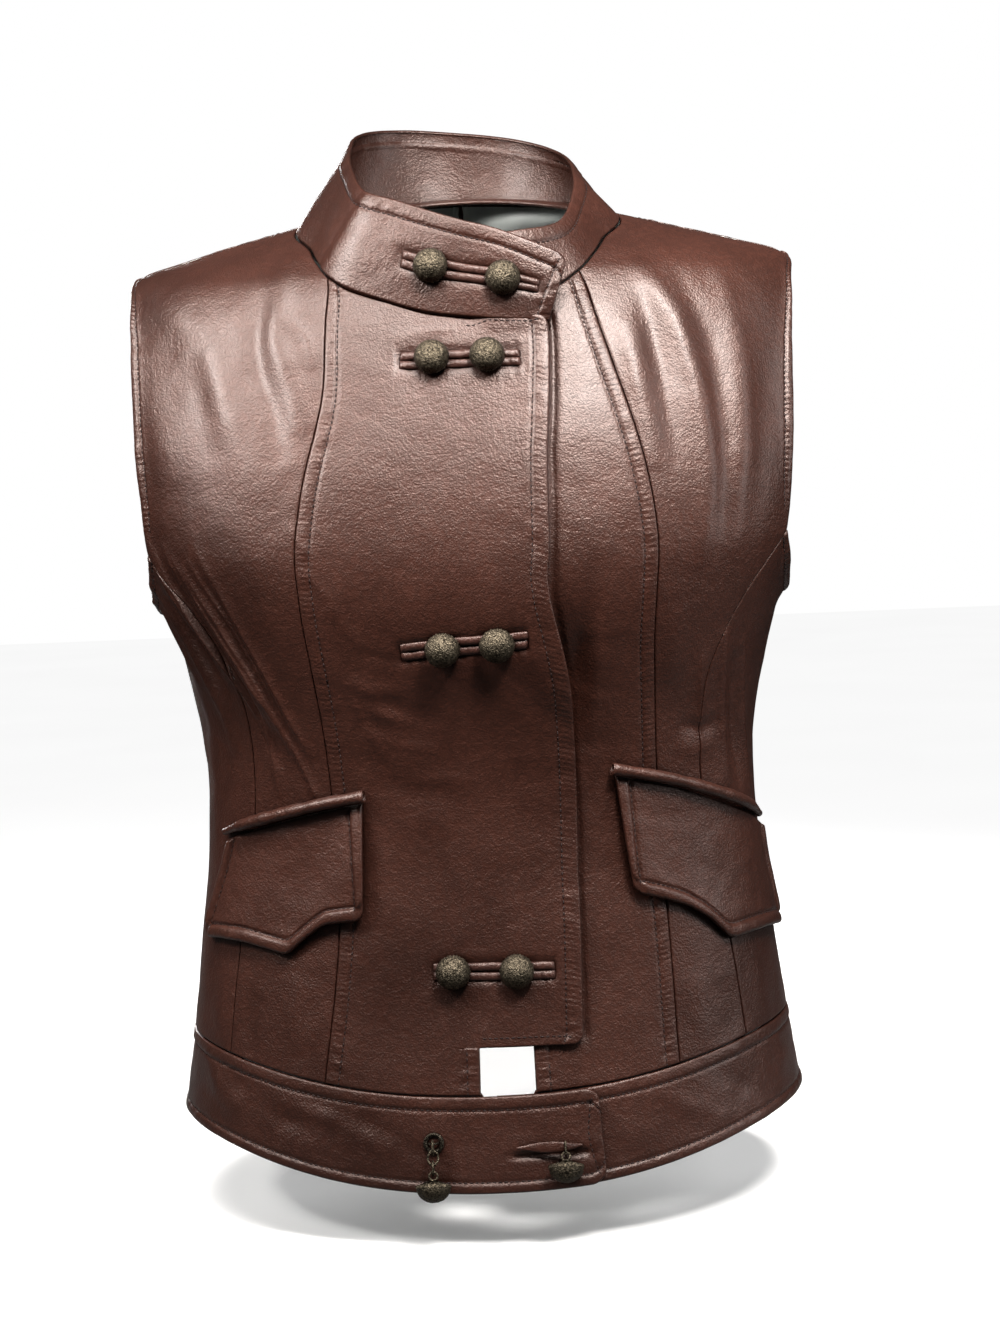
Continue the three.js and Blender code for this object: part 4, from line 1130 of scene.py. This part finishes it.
def buttonhole(name, place, seed):
    """place(t, d) gives the spot and the way out at t along the slot and d mm above its middle."""
    along = np.linspace(0, 1, 70)
    around = np.linspace(0, np.pi, 14)
    ends = np.exp(-((np.minimum(along, 1 - along) / 0.018) ** 2))
    gape = 0.35 * np.sin(np.pi * along) ** 0.5 + 0.15 * np.sin(along * 13 + seed)
    both = bmesh.new()
    for side in (1, -1):
        middle = side * (LIP_CENTRE + gape * (1 - ends))
        d = middle[None] + LIP_HALF * np.cos(around)[:, None]
        spot, out = place(np.repeat(along[None], len(around), 0), d)
        ripple = 1 + 0.14 * np.sin(along * 43 + seed + 2 * side) + 0.09 * np.sin(along * 97 + seed)
        lift = LIP_HEIGHT * np.sin(around)[:, None] ** 0.8 * (ripple * (1 - 0.6 * ends))[None] - LIP_SUNK
        mesh = grid_mesh("lip", spot + out * lift[..., None])
        both.from_mesh(mesh)
        bpy.data.meshes.remove(mesh)
    label = f"buttonhole_{name}_lips"
    piece = mesh_object(label, finished(both, label), [PIPING])
    fold = piece.modifiers.new("thickness", "SOLIDIFY")
    fold.thickness = LIP_THICK * MM
    fold.offset = -1
    settle(piece, f"buttonhole_{name}", "vest")


def on_placket(ends, heights):
    def place(t, d):
        angle = ends[0] + (ends[1] - ends[0]) * t
        z = heights[0] + (heights[1] - heights[0]) * t + d
        base, out = form_point(angle, z), form_normal(angle, z)
        return base + out * (placket_stand(angle + 360, z) + relief(base))[..., None], out
    return place


def collar_spot(share, v):
    """A place on the collar with the way up it, at a share of its length and of its height."""
    low, high = collar_seam(share), even_spline(COLLAR[:, 1:], share)
    return low * (1 - v)[..., None] + high * v[..., None], high - low


def on_collar(t, d):
    start, stop = COLLAR_HOLE["ends"]
    share = start + (stop - start) * t
    v = COLLAR_HOLE["middle"] + d / COLLAR_HOLE["height"]
    spot, up = collar_spot(share, v)
    ahead_spot, _ = collar_spot(share + 0.004, v)
    out = unit(np.cross(ahead_spot - spot, up))
    return spot + out * (TAB_LAYER + COLLAR_BOW * np.sin(np.pi * v))[..., None], out


for number, (name, ends, heights, _) in enumerate(BUTTONHOLES):
    buttonhole(name, on_placket(ends, heights), number)
buttonhole("collar", on_collar, 5)


# The stitches
# Dark brown thread, about eight stitches to the inch, in one joined mesh.
def thread_material():
    material, tree, shader, place = new_material("brown_thread")
    twist = add_node(tree, "ShaderNodeTexWave", {"Vector": place, "Scale": 900, "Distortion": 1.5})
    feed(tree, shader, {
        "Base Color": ramp(tree, twist.outputs["Fac"], (0.006, 0.0025, 0.002), (0.016, 0.006, 0.005)),
        "Roughness": 0.75,
        "Specular IOR Level": 0.25,
    })
    return material


def stitches():
    one = bmesh.new()
    bmesh.ops.create_uvsphere(one, u_segments=6, v_segments=4, radius=1)
    shape = finished(one, "stitch")
    corners = np.array([vertex.co for vertex in shape.vertices])
    faces = [tuple(face.vertices) for face in shape.polygons]
    size = np.array([STITCH_THICK, STITCH_THICK * 0.8, STITCH_LONG / 2]) * MM
    spots = []
    for line, out in STITCH_LINES:
        run = np.concatenate([[0], np.cumsum(np.linalg.norm(np.diff(line, axis=0), axis=1))])
        at = np.arange(STITCH_PITCH / 2, run[-1], STITCH_PITCH)
        here, ahead_here, back_here = (
            np.stack([np.interp(at + shift, run, line[:, k]) for k in range(3)], -1) for shift in (0, 0.5, -0.5)
        )
        way = unit(np.stack([np.interp(at, run, out[:, k]) for k in range(3)], -1))
        along = unit(ahead_here - back_here)
        side = unit(np.cross(along, way))
        spots.append(np.stack([side, way, along, (here + way * 0.08) * MM], 1))
    spots = np.concatenate(spots)
    points = np.einsum("ck,nkd->ncd", corners * size, spots[:, :3]) + spots[:, 3][:, None]
    count = len(corners)
    all_faces = [tuple(index + n * count for index in face) for n in range(len(spots)) for face in faces]
    mesh = bpy.data.meshes.new("topstitching")
    mesh.from_pydata(points.reshape(-1, 3).tolist(), [], all_faces)
    piece = mesh_object("topstitching", mesh, [thread_material()])
    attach(piece, "vest")


stitches()


# The half-balls
# Cast brass, darkened, with a hammered and grained crown, a toothed rim, a flat back and a shank.
def brass_material(name, deep, light):
    material, tree, shader, place = new_material(name)
    pits = add_node(tree, "ShaderNodeTexVoronoi", {"Vector": place, "Scale": 1500, "Randomness": 1.0})
    stain = add_node(tree, "ShaderNodeTexNoise", {
        "Vector": place, "Scale": 900, "Detail": 5, "Roughness": 0.7,
    }).outputs["Fac"]
    feed(tree, shader, {
        "Base Color": ramp(tree, stain, deep, light, (0.38, 0.66)),
        "Metallic": 1,
        "Roughness": mapped(tree, stain, (0, 1), (0.38, 0.62)),
        "Normal": bumped(tree, pits.outputs["Distance"], 0.8, 0.0004),
    })
    return material


BRASS = brass_material("antique_brass", (0.010, 0.008, 0.0055), (0.125, 0.103, 0.073))
DARK_BRASS = brass_material("dark_brass", (0.006, 0.005, 0.004), (0.05, 0.042, 0.032))
DOME_RADIUS, DOME_HEIGHT, RIM_HEIGHT = 9.2, 7.8, 1.2
SHANK_RADIUS, SHANK_LENGTH, TEETH = 1.5, 2.3, 34


def dome_bmesh(seed):
    """A half-ball along +Z from the foot of its shank, in millimetres."""
    ball = bmesh.new()
    bmesh.ops.create_uvsphere(ball, u_segments=88, v_segments=56, radius=1)
    whole = ball.verts[:] + ball.edges[:] + ball.faces[:]
    bmesh.ops.bisect_plane(ball, geom=whole, plane_co=(0, 0, 0), plane_no=(0, 0, 1), clear_inner=True)
    rim_edges = [edge for edge in ball.edges if edge.is_boundary]
    rim = bmesh.ops.extrude_edge_only(ball, edges=rim_edges)["geom"]
    low = [item for item in rim if isinstance(item, bmesh.types.BMVert)]
    base = SHANK_LENGTH + RIM_HEIGHT
    for vertex in ball.verts:
        point = vertex.co.copy()
        if vertex in low:
            vertex.co = Vector((point.x * DOME_RADIUS, point.y * DOME_RADIUS, SHANK_LENGTH))
            continue
        spot = point * 8.5 + Vector((seed * 3.1, seed * 1.7, 0))
        near = noise.voronoi(spot)[0]
        dent = 0.6 * (near[1] - near[0]) + 0.3 * noise.noise(spot * 0.6)
        swell = 1 + (dent - 0.15) * 0.075 * min(point.z * 4, 1)
        wide = DOME_RADIUS * swell
        vertex.co = Vector((point.x * wide, point.y * wide, base + point.z * DOME_HEIGHT * swell))
    for vertex in ball.verts:
        if vertex.co.z < base + 0.6:
            turn = math.atan2(vertex.co.y, vertex.co.x)
            tooth = 1 + 0.035 * (1 if math.cos(turn * TEETH) > 0 else -0.4)
            vertex.co.x *= tooth
            vertex.co.y *= tooth
    edges = [edge for edge in ball.edges if edge.is_boundary]
    back = bmesh.ops.contextual_create(ball, geom=edges)["faces"]
    bmesh.ops.inset_region(ball, faces=back, thickness=DOME_RADIUS - SHANK_RADIUS)
    bmesh.ops.translate(ball, vec=(0, 0, -SHANK_LENGTH), verts=back[0].verts[:])
    return ball


def place_dome(name, foot, way, body, seed, extra=None):
    ball = dome_bmesh(seed)
    if extra is not None:
        ball.from_mesh(extra)
    turn = way.to_track_quat("Z", "Y").to_matrix().to_4x4()
    own = Matrix.Rotation(seed * 1.3, 4, "Z") if extra is None else Matrix.Identity(4)
    matrix = Matrix.Translation(foot * MM) @ turn @ own @ Matrix.Scale(MM, 4)
    bmesh.ops.transform(ball, matrix=matrix, verts=ball.verts)
    bmesh.ops.recalc_face_normals(ball, faces=ball.faces)
    piece = mesh_object(f"{name}_brass", finished(ball, f"{name}_brass"), [BRASS])
    settle(piece, name, body)


DOME_REST, COLLAR_DOME_SUNK = 0.5, 1.6
COLLAR_DOMES = (0.853, 0.9375)                    # shares of the collar's length
seed = 1
for name, ends, heights, domes in BUTTONHOLES:
    for k, angle in enumerate(domes):
        t = (angle - ends[0]) / (ends[1] - ends[0])
        spot, out = on_placket(ends, heights)(np.array([t]), np.array([0.0]))
        place_dome(f"dome_{name}_{k + 1}", Vector(spot[0] + out[0] * DOME_REST), Vector(out[0]), "vest", seed)
        seed += 1
for k, share in enumerate(COLLAR_DOMES):
    t = (share - COLLAR_HOLE["ends"][0]) / (COLLAR_HOLE["ends"][1] - COLLAR_HOLE["ends"][0])
    spot, out = on_collar(np.array([t]), np.array([0.0]))
    foot = Vector(spot[0] + out[0] * (DOME_REST - COLLAR_DOME_SUNK))
    place_dome(f"dome_collar_{k + 1}", foot, Vector(out[0]), "vest", seed)
    seed += 1


# The undone half-balls
# One hangs on three links from a staple in an eyelet, one on a ring from the leather loop on the tab.
WIRE, LINK_RADIUS, LINK_STRETCH, LOOP_RADIUS, LOOP_SUNK = 0.6, 2.8, 1.3, 2.2, 0.3


def ring_bmesh(radius, stretch, sideways):
    """A wire ring in millimetres, stretched along Z. sideways turns its face to the side."""
    ring = bmesh.new()
    circle = bmesh.ops.create_circle(ring, segments=10, radius=WIRE, matrix=Matrix.Translation((radius, 0, 0))
                                     @ Matrix.Rotation(math.pi / 2, 4, "X"))["verts"]
    edges = list({edge for vertex in circle for edge in vertex.link_edges})
    bmesh.ops.spin(ring, geom=circle + edges, cent=(0, 0, 0), axis=(0, 0, 1), angle=2 * math.pi, steps=28,
                   use_merge=True)
    bmesh.ops.remove_doubles(ring, verts=ring.verts, dist=0.01)
    turn = Matrix.Rotation(math.pi / 2, 4, "X")
    if sideways:
        turn = Matrix.Rotation(math.pi / 2, 4, "Z") @ turn
    bmesh.ops.transform(ring, matrix=Matrix.Diagonal((1, 1, stretch, 1)) @ turn, verts=ring.verts)
    bmesh.ops.recalc_face_normals(ring, faces=ring.faces)
    return ring


def centre_of(node):
    low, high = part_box(node)
    return (low + high) / 2


def hanging_ring(node, tilt, sideways, body):
    ring = ring_bmesh(LINK_RADIUS, LINK_STRETCH, sideways)
    matrix = Matrix.Translation(centre_of(node)) @ Matrix.Rotation(-tilt, 4, "X") @ Matrix.Scale(MM, 4)
    bmesh.ops.transform(ring, matrix=matrix, verts=ring.verts)
    piece = mesh_object(f"{node}_brass", finished(ring, f"{node}_brass"), [BRASS])
    settle(piece, node, body)


def hanging_dome(node, tilt, body, seed):
    """The half-ball hangs crown down from a loop on its shank, in the tilted line of its chain."""
    way = Vector((0, -math.sin(tilt), -math.cos(tilt)))
    loop = ring_bmesh(LOOP_RADIUS, 1, False)
    bmesh.ops.translate(loop, vec=(0, 0, -(LOOP_RADIUS + WIRE - LOOP_SUNK)), verts=loop.verts)
    low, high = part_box(node)
    foot_to_low = (SHANK_LENGTH + 1) * math.cos(tilt) + math.hypot(
        DOME_HEIGHT * math.cos(tilt), DOME_RADIUS * math.sin(tilt))
    foot = Vector(((low.x + high.x) / 2, 0, low.z + foot_to_low * MM))
    foot.y = high.y - (DOME_RADIUS * math.cos(tilt) - SHANK_LENGTH * math.sin(tilt)) * MM
    place_dome(node, foot / MM, way, body, seed, finished(loop, "loop"))


CHAIN_TILT, TAB_TILT = math.radians(23), math.radians(27)
for k in range(3):
    hanging_ring(f"chain_link_{k + 1}", CHAIN_TILT, k % 2 == 0, "chain")
hanging_ring("tab_ring", TAB_TILT, True, "tab_toggle")
hanging_dome("dome_chain", CHAIN_TILT, "chain_half_ball", 21)
hanging_dome("dome_tab", TAB_TILT, "tab_toggle", 22)
for node in ("band_eyelet", "chain_staple"):
    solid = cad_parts[node]
    solid.data.materials.clear()
    solid.data.materials.append(DARK_BRASS)


LOOP_START, LOOP_FOOT, LOOP_CREST, LOOP_DOWN, LOOP_END = 3.2, 5.4, 10.2, 12.9, 13.0     # its angles


def tab_loop():
    """A narrow rounded strip that lies on the tab at one end and arches up at the other."""
    t = np.linspace(0, 1, 60)
    angle = LOOP_START + (LOOP_END - LOOP_START) * t
    rise = np.minimum(
        (angle - LOOP_FOOT) / (LOOP_CREST - LOOP_FOOT), (LOOP_DOWN - angle) / (LOOP_DOWN - LOOP_CREST)
    )
    path_lift = LAP + 2.4 + 3.6 * smooth(0, 1, rise)
    around = np.linspace(0, 2 * np.pi, 21)
    wide, thick = 0.7 + 2.2 * np.sin(np.pi * t) ** 1.2, 0.7
    z = LOOP_HEIGHT + wide[None] * np.cos(around)[:, None]
    lift = path_lift[None] + thick * np.sin(around)[:, None]
    angles = np.repeat(angle[None], len(around), 0)
    points = form_point(angles, z) + form_normal(angles, z) * lift[..., None]
    piece = mesh_object("tab_loop_leather", grid_mesh("tab_loop_leather", points[::-1]), [LEATHER])
    settle(piece, "tab_loop", "vest")


tab_loop()


# The floor and the light
# A pale floor under white, a large soft light overhead, a key from the front, weak ones at the sides
# and back. The camera sees the floor and the world brighter than they light the vest.
FLOOR_LEVEL = -0.565


def floor_material():
    material, tree, shader, place = new_material("pale_floor")
    cloud = add_node(tree, "ShaderNodeTexNoise", {"Vector": place, "Scale": 3.0, "Detail": 2})
    tone = ramp(tree, cloud.outputs["Fac"], (0.86, 0.86, 0.86), (0.90, 0.90, 0.90))
    seen = add_node(tree, "ShaderNodeLightPath").outputs["Is Camera Ray"]
    calm = add_node(tree, "ShaderNodeMix", data_type="RGBA")
    feed(tree, calm, {"Factor": seen, "A": (0.10, 0.10, 0.10, 1), "B": tone})
    reach = add_node(tree, "ShaderNodeVectorMath", {0: place}, operation="LENGTH").outputs["Value"]
    feed(tree, shader, {
        "Base Color": calm.outputs["Result"],
        "Roughness": 0.9,
        "Emission Color": tone,
        "Emission Strength": calculated(tree, "MULTIPLY", seen, mapped(tree, reach, (0.7, 1.1), (0.05, 1.0))),
    })
    return material


def floor():
    plane = bmesh.new()
    bmesh.ops.create_grid(plane, x_segments=2, y_segments=2, size=6,
                          matrix=Matrix.Translation((0, 0, FLOOR_LEVEL)))
    mesh_object("floor", finished(plane, "floor"), [floor_material()])


floor()


DAYLIGHT, WARM = (1, 1, 1), (1, 0.97, 0.94)


def soft_light(name, place, target, size, power, tint, spread):
    light = bpy.data.lights.new(name, "AREA")
    light.shape = "RECTANGLE"
    light.size, light.size_y = size
    light.energy = power
    light.color = tint
    light.spread = math.radians(spread)
    lamp = bpy.data.objects.new(name, light)
    lamp.location = place
    lamp.rotation_euler = (Vector(target) - Vector(place)).to_track_quat("-Z", "Y").to_euler()
    scene.collection.objects.link(lamp)


soft_light("overhead", (-0.1, -0.62, 0.95), (-0.04, -0.1, 0.03), (1.2, 0.42), 4.5, WARM, 38)
soft_light("left_sheen", (-0.85, -0.6, 0.6), (-0.1, -0.1, -0.06), (0.4, 0.4), 2.0, WARM, 36)
soft_light("key", (0.4, -0.86, 0.78), (0.08, -0.1, -0.1), (0.3, 0.3), 3.3, WARM, 46)
soft_light("side_strip", (-1.0, -0.5, 0.35), (-0.05, -0.05, -0.1), (0.15, 0.6), 0.7, DAYLIGHT, 90)
soft_light("side_glow", (1.2, -0.45, 0.1), (0.1, 0, -0.42), (0.4, 0.9), 3.4, DAYLIGHT, 110)
soft_light("back_light", (-0.4, 1.6, 0.05), (0, 0, -0.15), (1.2, 0.8), 6.5, DAYLIGHT, 60)


def studio_world():
    """White behind the vest, and weak even light from all sides."""
    world = bpy.data.worlds.new("studio")
    world.use_nodes = True
    tree = world.node_tree
    seen = add_node(tree, "ShaderNodeLightPath").outputs["Is Camera Ray"]
    feed(tree, tree.nodes["Background"], {
        "Color": (1, 1, 1, 1), "Strength": mapped(tree, seen, (0, 1), (0.07, 1.0)),
    })
    return world


scene.world = studio_world()
scene.view_settings.view_transform = "Standard"
